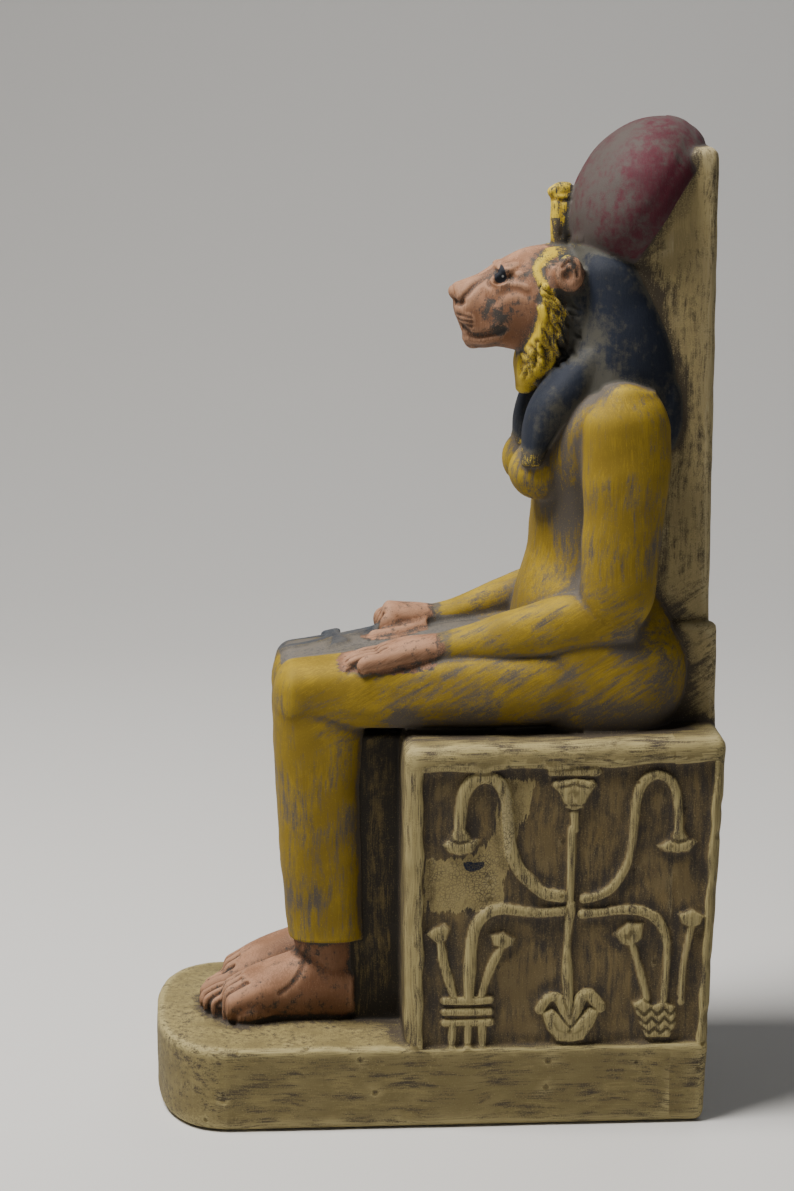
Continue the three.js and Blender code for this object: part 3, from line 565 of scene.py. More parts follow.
# The side relief, in hundredths of the panel: (points, width in mm, height in mm, only on the left side)
stems = [
    ([(0.4, 55), (-5.6, 56.2), (-10.2, 59.7), (-15.6, 65.9), (-18.4, 73.4), (-19.3, 82.4), (-20.7, 92.2),
      (-23.7, 97.4), (-28, 99), (-32.3, 97.2), (-35.2, 92.4), (-36.2, 86.5), (-36.5, 79)], 4.3, 1.5, False),
    ([(8.6, 54.1), (13.8, 55.1), (18.9, 58.4), (23, 65.1), (24.8, 72.6), (25.4, 81.6), (26, 90.6),
      (28.2, 96.5), (32.8, 98.8), (37.3, 96.7), (39.8, 91.9), (40.8, 85.9), (41.4, 78)], 3.2, 1.4, False),
    ([(1.3, 49.7), (-6.1, 49), (-13.6, 49.8), (-20.4, 50.7), (-25.6, 49.6), (-29.6, 45.7), (-31.5, 39.7),
      (-32.1, 31.3), (-32.4, 18)], 3.7, 1.4, False),
    ([(8.1, 48.4), (15.6, 48.8), (23.1, 49.8), (29.9, 49.1), (34.9, 46.3), (38.3, 41.3), (39.7, 34.4),
      (39.7, 25.2), (39.4, 15)], 2.9, 1.3, False),
    ([(3.9, 88), (4.2, 79.8), (3.3, 79), (3.5, 67), (3.5, 52.6)], 2.6, 1.3, False),
    ([(3.9, 51.9), (3.1, 39.7), (3.4, 27.5), (4.5, 12)], 3.1, 1.5, False),
    ([(-4.6, 100.4), (11, 100.5)], 3.0, 1.3, False), ([(-41.2, 17.2), (-24.5, 17.2)], 3.0, 1.4, False),
    ([(-41.2, 13), (-24.5, 13)], 2.8, 1.4, False), ([(-41.2, 9.1), (-24.5, 9.1)], 2.8, 1.4, False),
    ([(-38.2, 8), (-38.4, 1)], 3.0, 1.4, False), ([(-32.6, 8), (-32.6, 0.6)], 2.9, 1.4, False),
    ([(-27.5, 8), (-27.2, 1.4)], 2.9, 1.4, False),
    ([(-43, 38.8), (-41.7, 31.5), (-39.8, 24.6), (-38, 18.8)], 2.7, 1.2, True),
    ([(-21.1, 36), (-23.7, 31.1), (-26.2, 24.3), (-27.8, 18.6)], 2.8, 1.2, True),
    ([(26.9, 36.4), (29.1, 30.1), (31.4, 23.1), (33.2, 16.5)], 2.6, 1.2, True),
    ([(48, 42.7), (47, 35.8), (46, 28.2), (45.8, 15.1)], 2.6, 1.2, True),
    ([(-6, 13.5), (-4.9, 15.7), (-2.7, 17.9), (0.6, 17.2), (3, 12.8), (5, 8.6)], 3.6, 1.5, True),
    ([(16, 14), (14.6, 15.8), (11.6, 18.6), (8.9, 17.3), (7.3, 12.9), (5.4, 8.6)], 3.6, 1.5, True),
]
plates = [  # flat raised figures: outline, height, soft edge, only on the left side
    ([(-43, 74.6), (-40.4, 71.6), (-36.3, 70.6), (-31.9, 71.8), (-29.1, 75.9), (-32.4, 77.4), (-34.3, 81.5),
      (-38.5, 81.5), (-40.1, 77.6)], 1.6, 1.5, False),
    ([(33.7, 72.5), (36.8, 70.3), (41.3, 69.7), (45.7, 70.4), (48.4, 74.1), (44.5, 76.8), (42.9, 80.4),
      (39.9, 80.5), (38.3, 76.5)], 1.5, 1.5, False),
    ([(-4.6, 95.7), (-3.4, 97.4), (3.5, 98.3), (10.4, 97.2), (11.4, 95.5), (9.1, 92.1), (6.8, 87),
      (1.2, 87), (-1.8, 92.3)], 1.6, 1.4, False),
    ([(-6.2, 12.8), (-3.4, 5.6), (0.2, 1.2), (5.6, 0.4), (10.6, 1.3), (14, 6.8), (16, 13.2), (12, 14),
      (5.3, 7.6), (-1.5, 14)], 1.7, 1.6, False),
    ([(27.6, 15), (31.5, 17.4), (35.5, 14.6), (39.2, 16.4), (44.4, 13.6), (44.8, 6.7), (42.6, 1.6),
      (33.2, 1.4), (30.8, 6.9)], 1.6, 1.4, False),
    ([(-49, 42), (-45.7, 45), (-41.2, 46), (-39, 43.8), (-40.6, 39.2), (-44.1, 37.8)], 1.3, 1.3, True),
    ([(-25.4, 41.6), (-20.2, 42.8), (-15, 40), (-16.2, 36.6), (-20, 35.2), (-24, 37.4)], 1.3, 1.3, True),
    ([(19.4, 40.7), (24.5, 45.2), (30.6, 44.5), (30.4, 38.8), (26.9, 35.4), (22.4, 36.8)], 1.3, 1.3, True),
    ([(42.7, 47.8), (48, 49.7), (53, 47.2), (51.5, 43.6), (48, 41.7), (44.3, 44)], 1.3, 1.3, True),
]
engraved = [  # lines cut into the relief: points, width in mm, depth in mm
    ([(1.2, 88.6), (6.8, 88.5)], 0.9, 0.6), ([(1.4, 86.4), (6.6, 86.4)], 0.9, 0.6),
    ([(-40.5, 76.6), (-36.4, 75.4), (-31, 76.6)], 0.9, 0.45),
    ([(37.5, 75.6), (41.4, 74.4), (45.6, 75.4)], 0.9, 0.45),
    ([(29.8, 13), (32.4, 10.6), (34.8, 13), (37.2, 10.6), (39.6, 13), (42, 10.6), (44, 12.4)], 1.0, 0.6),
    ([(30.6, 9.6), (33, 7.2), (35.4, 9.6), (37.8, 7.2), (40.2, 9.6), (42.4, 7.2), (44, 8.6)], 1.0, 0.6),
    ([(32.2, 5.8), (34.4, 3.8), (36.6, 5.8), (38.8, 3.8), (41, 5.8), (43, 4.2)], 1.0, 0.6),
    ([(-1.6, 95), (3.4, 96.2), (8.6, 94.8)], 0.8, 0.3),
]


def segmentDistance(points, a, b):
    along = b - a
    t = np.clip((points - a) @ along / max(along @ along, 1e-9), 0, 1)
    return np.linalg.norm(points - a - t[:, None] * along, axis=1)


def curved(path, steps=5):  # more points along a smooth line through the given ones
    path = np.array(path, float)
    if len(path) < 3:
        return path
    return sectionAt(path, np.linspace(0, 1, steps * (len(path) - 1) + 1))


def lineDistance(points, path, reach):  # far points keep the value of reach
    out = np.full(len(points), float(reach))
    near = np.where(np.all((points > path.min(0) - reach) & (points < path.max(0) + reach), axis=1))[0]
    for a, b in zip(path[:-1], path[1:]):
        out[near] = np.minimum(out[near], segmentDistance(points[near], a, b))
    return out


def insideDepth(points, outline, reach=3.0):  # how deep each point lies in an outline, below 0 outside
    closed = np.vstack([outline, outline[:1]])
    away = lineDistance(points, closed, reach)
    inside = np.zeros(len(points), bool)
    for a, b in zip(closed[:-1], closed[1:]):
        crosses = (a[1] > points[:, 1]) != (b[1] > points[:, 1])
        with np.errstate(divide="ignore", invalid="ignore"):
            at = a[0] + (points[:, 1] - a[1]) * (b[0] - a[0]) / (b[1] - a[1])
        inside ^= crosses & (points[:, 0] < at)
    return np.where(inside, away, -away)


def smooth(value, low, high):
    t = np.clip((value - low) / (high - low), 0, 1)
    return t * t * (3 - 2 * t)


def onPanel(path):
    return np.array([panel["middle"], panel["foot"]]) + panel["share"] * np.array(path)


def upright(co):  # the throne's side as it is before its rear leans in
    start, span = throne["front"], base["rear"] - throne["front"]
    k = base["lean"] * np.clip(1 - co[:, 2] / (throne["top"] - throne["edge"]), 0, 1) / span
    return np.stack([np.where(co[:, 1] > start, (co[:, 1] - k * start) / (1 - k), co[:, 1]), co[:, 2]], 1)


def carvePanels(co, groove):
    for way in (1, -1):
        rows = np.where((way * co[:, 0] > panel["half"] - 4) & (co[:, 2] > 21) & (co[:, 2] < 117))[0]
        spots = upright(co[rows])
        back = (spots[:, 0] - panel["front"]) / (panel["rear"] - panel["front"])
        top = panel["top"] + throne["rise"] * back
        wobble = 0.35 * np.sin(spots[:, 0] * 0.31 + 1) + 0.25 * np.sin(spots[:, 1] * 0.43)
        inward = np.minimum(np.minimum(spots[:, 0] - panel["front"], panel["rear"] - spots[:, 0]) + wobble,
                            np.minimum(spots[:, 1] - panel["foot"] + 0.4, top - spots[:, 1] + wobble))
        height = np.zeros(len(rows))
        for path, width, tall, leftOnly in stems:
            if way > 0 or not leftOnly:
                d = lineDistance(spots, curved(onPanel(path)), 4)
                height = np.maximum(height, tall * np.clip(1 - (d / (width / 2 + 0.15)) ** 2, 0, 1) ** 0.6)
        for outline, tall, soft, leftOnly in plates:
            if way > 0 or not leftOnly:
                deep = insideDepth(spots, onPanel(outline))
                height = np.maximum(height, tall * smooth(deep, -0.35, soft) ** 0.7)
        cut = np.zeros(len(rows))
        for path, width, depth in engraved if way > 0 else engraved[:4]:
            d = lineDistance(spots, onPanel(path), 3)
            cut = np.maximum(cut, depth * np.exp(-(d / (0.5 * width)) ** 2))
            groove[rows] = np.maximum(groove[rows], np.exp(-(d / (0.6 * width)) ** 2))
        recess = panel["depth"] * smooth(inward, -0.3, 1.2)
        co[rows, 0] += way * (-recess + (height - cut * (height > 0.3)) * smooth(inward, -0.5, 0.6))


views = {"above": [0, 1], "side": [1, 2], "space": [0, 1, 2]}  # the axes that a line is measured in
# Lines worked into the face: forward and up of their points, width and height in mm (below 0 is a groove)
strokes = {
    "noseSide": ([(47.6, 230.2), (49.3, 229.3), (51.4, 227.6), (53.8, 225.8), (55.4, 224.1), (57.1, 222.3),
                 (58.3, 220.7)], 1.3, -0.95),
    "nostril": ([(59.6, 220.9), (58.5, 219.8), (57.3, 220.9)], 1.3, -0.9),
    "eyeRim": ([(45.8, 232), (44.3, 229.2), (44, 227.1), (45.9, 226.2), (48.4, 226.5), (47.5, 228.9),
               (45.8, 232)], 1.0, 0.35),
    "tear": ([(47.6, 230.4), (49, 228.8), (49.8, 227.5), (49.5, 226)], 0.9, -0.5),
    "brow": ([(45.2, 230.5), (43, 230.3), (40.8, 229.6)], 2.4, 0.6),
    "cheekRidge": ([(46.6, 225.4), (44, 226.4), (41.2, 226.6), (39.4, 226)], 2.0, 0.55),
    "underRidge": ([(48, 221.5), (46, 223.6), (43.2, 225), (40.8, 225), (38.6, 224)], 2.4, -0.35),
    "muzzleRear": ([(50, 222), (49.8, 219), (49, 216.5)], 4.0, -0.5),
    "jaw": ([(44, 218), (41, 213)], 7.0, -0.5),
    "mouth": ([(57.6, 213), (56.2, 212.1), (55.3, 211), (53, 210.7), (50.1, 211.2), (47.2, 211.9),
              (45.6, 212.9)], 1.5, -1.0),
    "lip": ([(56.6, 209.2), (52.9, 209), (49.3, 209.6), (46, 210.9)], 2.4, 0.6),
    "underLip": ([(55.4, 206.9), (51, 206.7), (47, 207.8)], 1.6, -0.3),
    "whiskerA": ([(58.6, 217), (55, 216.4)], 0.8, -0.4),
    "whiskerB": ([(58.4, 215.4), (54.8, 215)], 0.8, -0.4),
    "whiskerC": ([(58, 213.9), (54.8, 213.7)], 0.8, -0.4),
}
faceReach = (1.5, 20, 34, 62, 203, 240)  # where they may reach: from and to in side, forward and up
earFold = ([(24.6, 229.8), (25, 232.4), (27.2, 234), (29.2, 232.4)], 1.0, -0.6, (17, 24, 22, 32, 226, 236))
ankleFold = ([(105, 25), (106.5, 19), (109.5, 14), (113.5, 11)], 1.3, -0.3, (14, 24, 100, 118, 2, 26))
middleStrokes = [  # of the lip and the cobra, with side, forward and up
    ([(0, 60.5, 219.3), (0, 58, 214), (0, 57, 211.3)], 1.4, -0.6),
    ([(2.6, 27.8, 250), (3.4, 27.7, 240)], 1.0, -0.45),
    ([(1.5, 29.8, 250.7), (3, 27.5, 250.4), (3, 25, 250.6)], 1.2, -0.6),
    ([(1.9, 28.4, 253.8), (1.9, 28.3, 253.7)], 1.0, -0.4),
]
ruff = {"count": 22, "rows": (0.02, 0.34, 0.66), "width": 0.95, "depth": -0.7, "turn": (0.6, 1.5),
        "length": (4.5, 8.0), "seed": 4, "reach": (7, 25, 23, 43, 190, 228),
        "front": [(35.4, 226.3), (34.2, 221.3), (33.9, 216.2), (35.6, 211.1), (39.2, 207), (41.4, 203)],
        "rear": [(27.9, 225), (25.1, 219.5), (24.8, 214), (27.8, 209), (33, 205.5), (38.5, 203)]}
headband = {
    "path": [(23.7, 238.9), (27.8, 236.8), (32.5, 234.6), (35.7, 231.1), (34.5, 227.4), (33.4, 223)],
    "width": 2.7, "height": 0.5, "reach": (4.5, 25, 22, 40, 220, 242),
}


def ruffLines():  # wavy locks that turn downwards along the ruff
    rng = np.random.default_rng(ruff["seed"])
    out = []
    for row in ruff["rows"]:
        for t in np.linspace(0, 1, ruff["count"]):
            t = float(np.clip(t + rng.uniform(-0.02, 0.02), 0, 1))
            front, rear = (sectionAt(np.array(ruff[k], float), np.array([t]))[0] for k in ("front", "rear"))
            start = front + (rear - front) * (row + rng.uniform(0, 0.12))
            angle = ruff["turn"][0] + (ruff["turn"][1] - ruff["turn"][0]) * t + rng.uniform(-0.2, 0.2)
            away = np.array([-np.cos(angle), -np.sin(angle)])
            step = (0.5 - 0.15 * t) * rng.uniform(*ruff["length"]) * away
            bow = rng.uniform(-0.8, 0.8) * np.array([-np.sin(angle), np.cos(angle)])
            out.append([start, start + step + bow, start + 2 * step])
    return out


def strokeList():  # (points, width, height, view, on both halves or not, reach)
    drawn = [(*stroke, faceReach) for stroke in strokes.values()]
    drawn += [(path, ruff["width"], ruff["depth"], ruff["reach"]) for path in ruffLines()]
    drawn.append((headband["path"], headband["width"], headband["height"], headband["reach"]))
    drawn += [earFold, ankleFold]
    out = [(path, width, height, "space", True, None) for path, width, height in middleStrokes]
    for path, width, height, reach in drawn:
        out.append(([(0, *spot) for spot in path], width, height, "side", True, reach))
    for i in range(3):  # between the fingers of the flat hand, then of the fist
        side = hands["finger"][0] + hands["finger"][1] * (i + 0.5)
        reach = (side - 2, side + 2, 79, 95, 110, 122)
        out.append(([(side, 81, 117), (side, 92.5, 115)], 0.9, -0.7, "above", False, reach))
        side = hands["knuckle"][0] + hands["knuckle"][1] * (i + 0.5)
        reach = (side - 2, side + 2, 74, 86, 112, 124)
        out.append(([(side, 77, 122), (side, 82.5, 120), (side, 83, 114)], 0.9, -0.6, "space", False, reach))
    loop = [(x, y, 112) for x, y in ankhLoop()]
    out.append((loop, 2.2, 0.75, "above", False, (-30, -2, 90, 116, 108, 120)))
    for i in range(toes["count"] - 1):  # between the toes
        side, tip = toeAt((i + 0.5) / (toes["count"] - 1))
        tip -= 2.2
        reach = (side - 3, side + 3, tip - 11, 140, 1, 14)
        slit = [(side - 1, tip - 8, 9), (side - 0.2, tip, 4), (side + 0.3, 136, 4)]
        out.append((slit, 1.3, -1.15, "above", True, reach))
        out.append(([(side - 1, tip - 8, 9), (side - 0.8, tip - 6.5, 9)], 1.2, -0.45, "above", True, reach))
    for i in range(4):  # beads of the left lappet's end
        side = 13 + 3.6 * (i - 1.5)
        reach = (side - 1.5, side + 1.5, 34, 44, 171, 179)
        out.append(([(side, 41, 179), (side, 41.2, 172)], 0.8, -0.4, "space", False, reach))
    return out


def carveStrokes(co, groove):
    normal = normals(statue.data)
    lift = np.zeros(len(co))
    spots = onGrid(co)
    halves = folded(spots)
    for path, width, height, view, both, reach in strokeList():
        source = halves if both else spots
        rows = np.arange(len(co))
        if reach:
            low, high = np.array(reach[0::2]), np.array(reach[1::2])
            rows = np.where(np.all((source > low) & (source < high), axis=1))[0]
        axes = views[view]
        d = lineDistance(source[rows][:, axes], curved(path)[:, axes], 2 * width)
        shape = np.exp(-(d / (0.55 * width)) ** 2)
        lift[rows] += height * shape
        if height < 0 and width < 2:
            groove[rows] = np.maximum(groove[rows], shape)
    co += normal * lift[:, None]


dents = [  # side, y and height in mm, size, how far it is pushed
    ((8.5, 21.5, 262), (4.5, 5.5, 4.5), (0, 0, -1.7)), ((-8.5, 21.5, 262), (4.5, 5.5, 4.5), (0, 0, -1.9)),
    ((0, 20.5, 262.5), (5, 4, 3), (0, 0.3, -0.8)), ((15, 25, 235), (6, 9, 8), (-2.4, 0, 0)),
    ((-15, 25, 235), (6, 9, 8), (2.4, 0, 0)), ((0, 34.9, 280.9), (3, 1.4, 1.6), (0, 0.3, -0.6)),
    ((25, 62.5, 222.5), (7, 5, 4), (0, 0, -1.7)), ((-25, 62.5, 222.5), (7, 5, 4), (0, 0, -1.7)),
    ((21.5, 38.4, 255.2), (3, 1.9, 2.5), (-1.7, 0, 0)), ((-21.5, 38.4, 255.2), (3, 1.9, 2.5), (1.7, 0, 0)),
    ((34, 84.5, 99), (5, 2.2, 2), (0, -0.8, 0)), ((41, 84.4, 72), (3, 2, 3), (-0.7, -0.7, 0)),
    ((41, 83.5, 50), (3, 2, 2), (-0.8, -0.6, 0)), ((41, 84.5, 90), (3, 2, 1.6), (-0.7, -0.7, 0)),
    ((41, 82, 33), (3, 2, 2.4), (-0.6, -0.6, 0)), ((17, 81, 290), (3, 2, 1.5), (-0.4, 0, -0.5)),
]
unevenness = {"waves": 14, "longest": 42.0, "shortest": 7.0, "height": 0.11, "onSlab": 0.45, "seed": 7}
pits = {"count": 90, "radius": 0.55, "depth": 0.5}


def roughen(co):
    rng = np.random.default_rng(unevenness["seed"])
    for at, size, push in dents:
        shape = np.exp(-np.sum(((co - at) / size) ** 2, axis=1))
        co += shape[:, None] * np.array(push)
    normal = normals(statue.data)
    lift = np.zeros(len(co))
    longest = unevenness["longest"]
    for length in np.geomspace(longest, unevenness["shortest"], unevenness["waves"]):
        direction = rng.normal(size=3)
        direction *= 2 * pi / length / np.linalg.norm(direction)
        wave = np.sin(co @ direction + rng.uniform(0, 2 * pi))
        lift += unevenness["height"] * (length / longest) ** 0.8 * wave
    lift *= np.where(co[:, 1] > grid["slabFront"] + 4, unevenness["onSlab"], 1)
    stone = (np.abs(co[:, 0]) > 30) & (co[:, 2] < 118)
    chosen = rng.choice(np.where(stone)[0], pits["count"])
    for index in chosen:
        near = np.where(np.all(np.abs(co - co[index]) < 1.6, axis=1))[0]
        d = np.linalg.norm(co[near] - co[index], axis=1) / (pits["radius"] * rng.uniform(0.7, 1.3))
        lift[near] -= pits["depth"] * np.exp(-d ** 2)
    co += normal * (lift * smooth(co[:, 2], 0.5, 4))[:, None]


def addValues(name, values):
    made = statue.data.attributes.new(name, "FLOAT", "POINT")
    made.data.foreach_set("value", np.ascontiguousarray(values, np.float32))


def carve():
    mesh = statue.data
    co = coordinates(mesh)
    before = co.copy()
    groove = np.zeros(len(co))
    carvePanels(co, groove)
    carveStrokes(co, groove)
    setCoordinates(mesh, co)
    roughen(co)
    setCoordinates(mesh, co)
    addValues("groove", groove)
    edges, normal, mean = edgeList(mesh), normals(mesh), co
    for i in range(skin["broad"]):  # ridges are above 0 and hollows below
        mean = neighbourMean(mean, edges)
        for name in ("fine", "broad"):
            if i + 1 == skin[name]:
                addValues(name, np.sum((co - mean) * normal, axis=1))
    shift = mesh.attributes.new("shift", "FLOAT_VECTOR", "POINT")
    shift.data.foreach_set("vector", (co - before).ravel())


def thin():  # fewer triangles where the surface is plain
    mesh = statue.data
    co = coordinates(mesh)
    _, forward, up = onGrid(co).T
    face = (up > 188) & (forward > 22)
    limbs = (forward > 60) & (up > 108) & (up < 126) | (forward > 90) & (up < 30)
    sides = (np.abs(co[:, 0]) > 37.5) & (co[:, 2] < 118) & (co[:, 2] > 24)
    free = statue.vertex_groups.new(name="free")
    share = np.where(face, kept["face"], np.where(limbs, kept["limbs"], np.where(sides, kept["sides"], 0.0)))
    for weight in (0.0, *kept.values()):
        free.add(np.where(share == weight)[0].tolist(), 1 - weight, "REPLACE")
    triangles = sum(len(p.vertices) - 2 for p in mesh.polygons)
    less = statue.modifiers.new("thin", "DECIMATE")
    less.ratio = skin["triangles"] / triangles
    less.vertex_group = "free"
    less.vertex_group_factor = skin["care"]
    applyModifiers(statue)
    statue.vertex_groups.clear()


carve()
print("relief and lines carved")
thin()
print("skin thinned:", len(statue.data.polygons), "faces")

shadeRays = {"rays": 14, "reach": 26.0, "off": 0.15, "smooth": 3, "seed": 3}  # how light is looked for, to paint shade in closed places
# Places where the paint has worn off (above 0) or is whole: side, forward, up, radius, strength
faded = [
    (11, 42, 234.5, 3, 0.8), (12.5, 40.5, 228.5, 2.5, 0.7), (10, 49.5, 217, 3.6, 0.42),
    (10, 45.5, 214, 3.4, 0.4), (10, 50, 221.5, 1.8, 0.5), (12, 42, 220, 3, 0.3), (16, 36, 223, 2, 0.5),
    (9, 36, 236.5, 2.5, 0.5), (18, 27, 222.5, 3, 0.6), (20, 21, 213, 7, 0.7), (22, 19.6, 203, 7, 0.6),
    (22, 18, 195, 6, 0.8), (14, 21, 237, 4, 0.8), (17, 5, 229, 4, 0.7), (18, 27, 208, 4, 0.6),
    (10, 14, 266, 13, 0.6), (12, 22, 247, 8, 0.7), (16, -4, 251, 9, -0.8), (14, 11.8, 238, 5, -0.8),
    (18, 6, 262, 5, -0.5), (22, 32, 156, 7, 0.9), (20, 28, 164, 7, 0.7), (16, 36, 150, 6, -0.4),
    (20, 23.7, 180, 6, 0.9), (26, 21, 137, 5, 0.8), (30, -4.5, 151, 7, 0.9), (26, -1, 98, 8, 0.9),
    (22, 75, 97, 8, 0.8), (24, 55, 96, 9, 0.9), (26, 35, 97, 9, 0.8), (27, 14, 97, 9, 0.9),
    (26, 62, 112, 4, 0.6), (27, 45, 112, 4, 0.7), (28, 26, 113, 5, 0.7), (30, 9.7, 121, 5, 0.9),
    (16, 105, 42, 6, 0.7), (14, 108, 75, 6, 0.4), (20, 95, 60, 7, 0.3), (22, 84, 104, 6, -0.5),
    (26, 40, 103, 7, -0.5), (32, 12, 180, 7, -0.4), (30, 20, 128, 5, -0.4), (14, 104, 112, 7, -0.6),
    (30, 0, 112, 6, 0.35), (24, 30, 190, 5, 0.7),
]
cream = [(-49.5, 69.5), (-44, 68.6), (-36, 69.5), (-30, 71.5), (-24.6, 76), (-21, 98), (-11, 97), (-13, 84),
         (-17.5, 73), (-20.6, 62), (-20.4, 52.4), (-30, 50), (-48, 50.6)]
chip = [(-35.2, 68.1), (-26.3, 67.9), (-27, 66.6), (-31.8, 64.2), (-34.8, 65.6)]


def farFrom(group, points, reach=8.0):  # mm from each point to one group's forms
    tree = BVHTree.FromBMesh(shapes[group])
    found = (tree.find_nearest(Vector(p), reach)[3] for p in points)
    return np.array([reach if length is None else length for length in found])


def shareForms(co, before):  # mm to the forms of each paint, with the borders that no form gives
    away = {name: farFrom(name, before) for name in shapes}
    side, forward, up = onGrid(co).T
    halves = folded(onGrid(co))
    mane = (up > 190) & (forward < 27 + 0.12 * (up - 215)) & (away["skin"] < away["wig"])
    mane &= np.linalg.norm(halves - features["ear"][0], axis=1) > 6.5
    away["wig"] = np.where(mane, np.minimum(away["wig"], 0.1), away["wig"])
    away["skin"] = np.where(mane, 3.0, away["skin"])
    band = lineDistance(halves[:, 1:], curved(headband["path"]), 4) - 0.5 * headband["width"]
    band = np.where(halves[:, 0] > 4, band, 4)
    brow = (up > 226) & (band > 0) & (halves[:, 0] > 4.5) & (forward > 24)  # skin beside the band
    away["skin"] = np.where(brow & (away["trim"] < away["wig"]), np.minimum(away["skin"], 0.2), away["skin"])
    away["trim"] = np.where(brow, 3.0, away["trim"])
    away["trim"] = np.where(up > 200, np.minimum(away["trim"], np.maximum(band, 0)), away["trim"])
    away["skin"] = np.where((up > 200) & (band < 0), np.maximum(away["skin"], 1 - band), away["skin"])
    wrist = (forward > 66.2) & (up > 112)
    away["dress"] = np.where(wrist & (away["skin"] < 3), 3.0, away["dress"])
    loop = lineDistance(np.stack([side, forward], 1), ankhLoop(), 8) - 1.2
    loop = np.where((up > 108) & (up < 121) & (side < 0), loop, 8)
    away["ankh"] = np.minimum(away["ankh"], np.maximum(loop, 0))
    away["dress"] = np.where(loop < 0, np.maximum(away["dress"], -loop), away["dress"])
    return away


def markZones(co, before):  # above 0 where a paint's own forms are the nearest ones
    away = shareForms(co, before)
    for name in shapes:
        others = np.min([away[k] for k in shapes if k != name], axis=0)
        addValues(name, np.clip(others - away[name], -3, 3))
    ranked = np.sort(np.stack(list(away.values())), axis=0)
    addValues("seam", np.clip(ranked[1] - ranked[0], 0, 4))
    side, forward, up = onGrid(co).T
    edge = 10.5 - 0.1 * (forward - 85) - side
    lap = np.minimum.reduce([edge, side + 27, forward - 46 + 0.3 * side, 112 - forward, up - 108.5, 121 - up])
    owned = np.min([away[k] for k in shapes if k != "dress"], axis=0) - away["dress"]
    addValues("lap", np.clip(np.minimum(lap, owned), -3, 3))
    seat = (away["stone"] < 0.5) & (co[:, 2] > panel["top"] + 1)
    addValues("lying", np.where((up < 0.5) | seat, 1, 0))
    aslant = smooth(up, 84, 94) * (1 - smooth(up, 132 + 0.1 * forward, 146))
    addValues("slanting", aslant * (1 - smooth(forward, 104, 112)))


def markPatches(co):  # worn places, and the patches of the panels
    halves = folded(onGrid(co))
    bare = np.zeros(len(co))
    for x, y, z, radius, strength in faded:
        bare += strength * np.exp(-np.sum(((halves - (x, y, z)) / radius) ** 2, axis=1))
    addValues("bare", np.clip(bare, -1, 1))
    spots = upright(co)
    inPanel = (halves[:, 0] > panel["half"] - 3) & (co[:, 2] > panel["foot"]) & (co[:, 2] < 115)
    inPanel &= (spots[:, 0] > panel["front"]) & (spots[:, 0] < panel["rear"])
    for name, patch in {"cream": cream, "chip": chip}.items():
        addValues(name, np.where(inPanel & (co[:, 0] > 0), insideDepth(spots, onPanel(patch)), -3))
    addValues("inset", np.where(inPanel, np.clip(2 * (panel["half"] - 0.95 - halves[:, 0]), -3, 3), -3))


def markOpen(co):  # how open each place is to the light
    edges = edgeList(statue.data)
    normal = normals(statue.data)
    rng = np.random.default_rng(shadeRays["seed"])
    directions = rng.normal(size=(shadeRays["rays"], 3))
    directions /= np.linalg.norm(directions, axis=1)[:, None]
    tree = BVHTree.FromObject(statue, bpy.context.evaluated_depsgraph_get())
    free = np.zeros(len(co))
    for direction in directions:
        for i, (point, n) in enumerate(zip(co, normal)):
            ray = direction if direction @ n > 0 else -direction
            start = point + shadeRays["off"] * n
            if tree.ray_cast(Vector(start), Vector(ray), shadeRays["reach"])[0] is None:
                free[i] += 1
    free = (free / shadeRays["rays"])[:, None]
    for _ in range(shadeRays["smooth"]):
        free = 0.5 * free + 0.5 * neighbourMean(free, edges)
    addValues("open", free[:, 0])


def paintMap():
    mesh = statue.data
    co = coordinates(mesh)
    shift = np.empty(len(co) * 3, np.float32)
    mesh.attributes["shift"].data.foreach_get("vector", shift)
    markZones(co, co - shift.reshape(-1, 3))
    markPatches(co)
    markOpen(co)
    mesh.attributes.remove(mesh.attributes["shift"])


def finishSkin():  # inside the CAD box, and in metres
    mesh = statue.data
    low, high = (np.array(corner) * 1000 for corner in cadBox)
    co = np.clip(coordinates(mesh), low + 0.01, high - 0.01)
    setCoordinates(mesh, co * 0.001)
    for face in mesh.polygons:
        face.use_smooth = True


paintMap()
finishSkin()
print("zones and wear marked")


def wire(tree, socket, value):
    if isinstance(value, bpy.types.NodeSocket):
        tree.links.new(value, socket)
    elif socket.type == "RGBA":
        socket.default_value = (*value, 1)
    else:
        socket.default_value = value


def add(tree, kind, inputs=None, **settings):  # a node with its sockets wired or set
    node = tree.nodes.new("ShaderNode" + kind)
    for key, value in settings.items():
        setattr(node, key, value)
    for key, value in (inputs or {}).items():
        wire(tree, node.inputs[key], value)
    return node


def maths(tree, operation, *values):
    return add(tree, "Math", dict(enumerate(values)), operation=operation).outputs[0]


def times(tree, a, b):
    return maths(tree, "MULTIPLY", a, b)


def plus(tree, a, b):
    return maths(tree, "ADD", a, b)


def minus(tree, a, b):
    return maths(tree, "SUBTRACT", a, b)


def weighted(tree, *pairs):  # the sum of values times weights
    total = None
    for value, weight in pairs:
        total = maths(tree, "MULTIPLY_ADD", value, weight, 0.0 if total is None else total)
    return total


def mixed(tree, factor, a, b):
    return add(tree, "Mix", {0: factor, 6: a, 7: b}, data_type="RGBA").outputs[2]


def blended(tree, factor, a, b):
    return add(tree, "Mix", {0: factor, 2: a, 3: b}, data_type="FLOAT").outputs[0]


def stepped(tree, value, low, high):  # 0 below low, 1 above high
    inputs = {"Value": value, "From Min": low, "From Max": high}
    return add(tree, "MapRange", inputs, interpolation_type="SMOOTHSTEP").outputs[0]


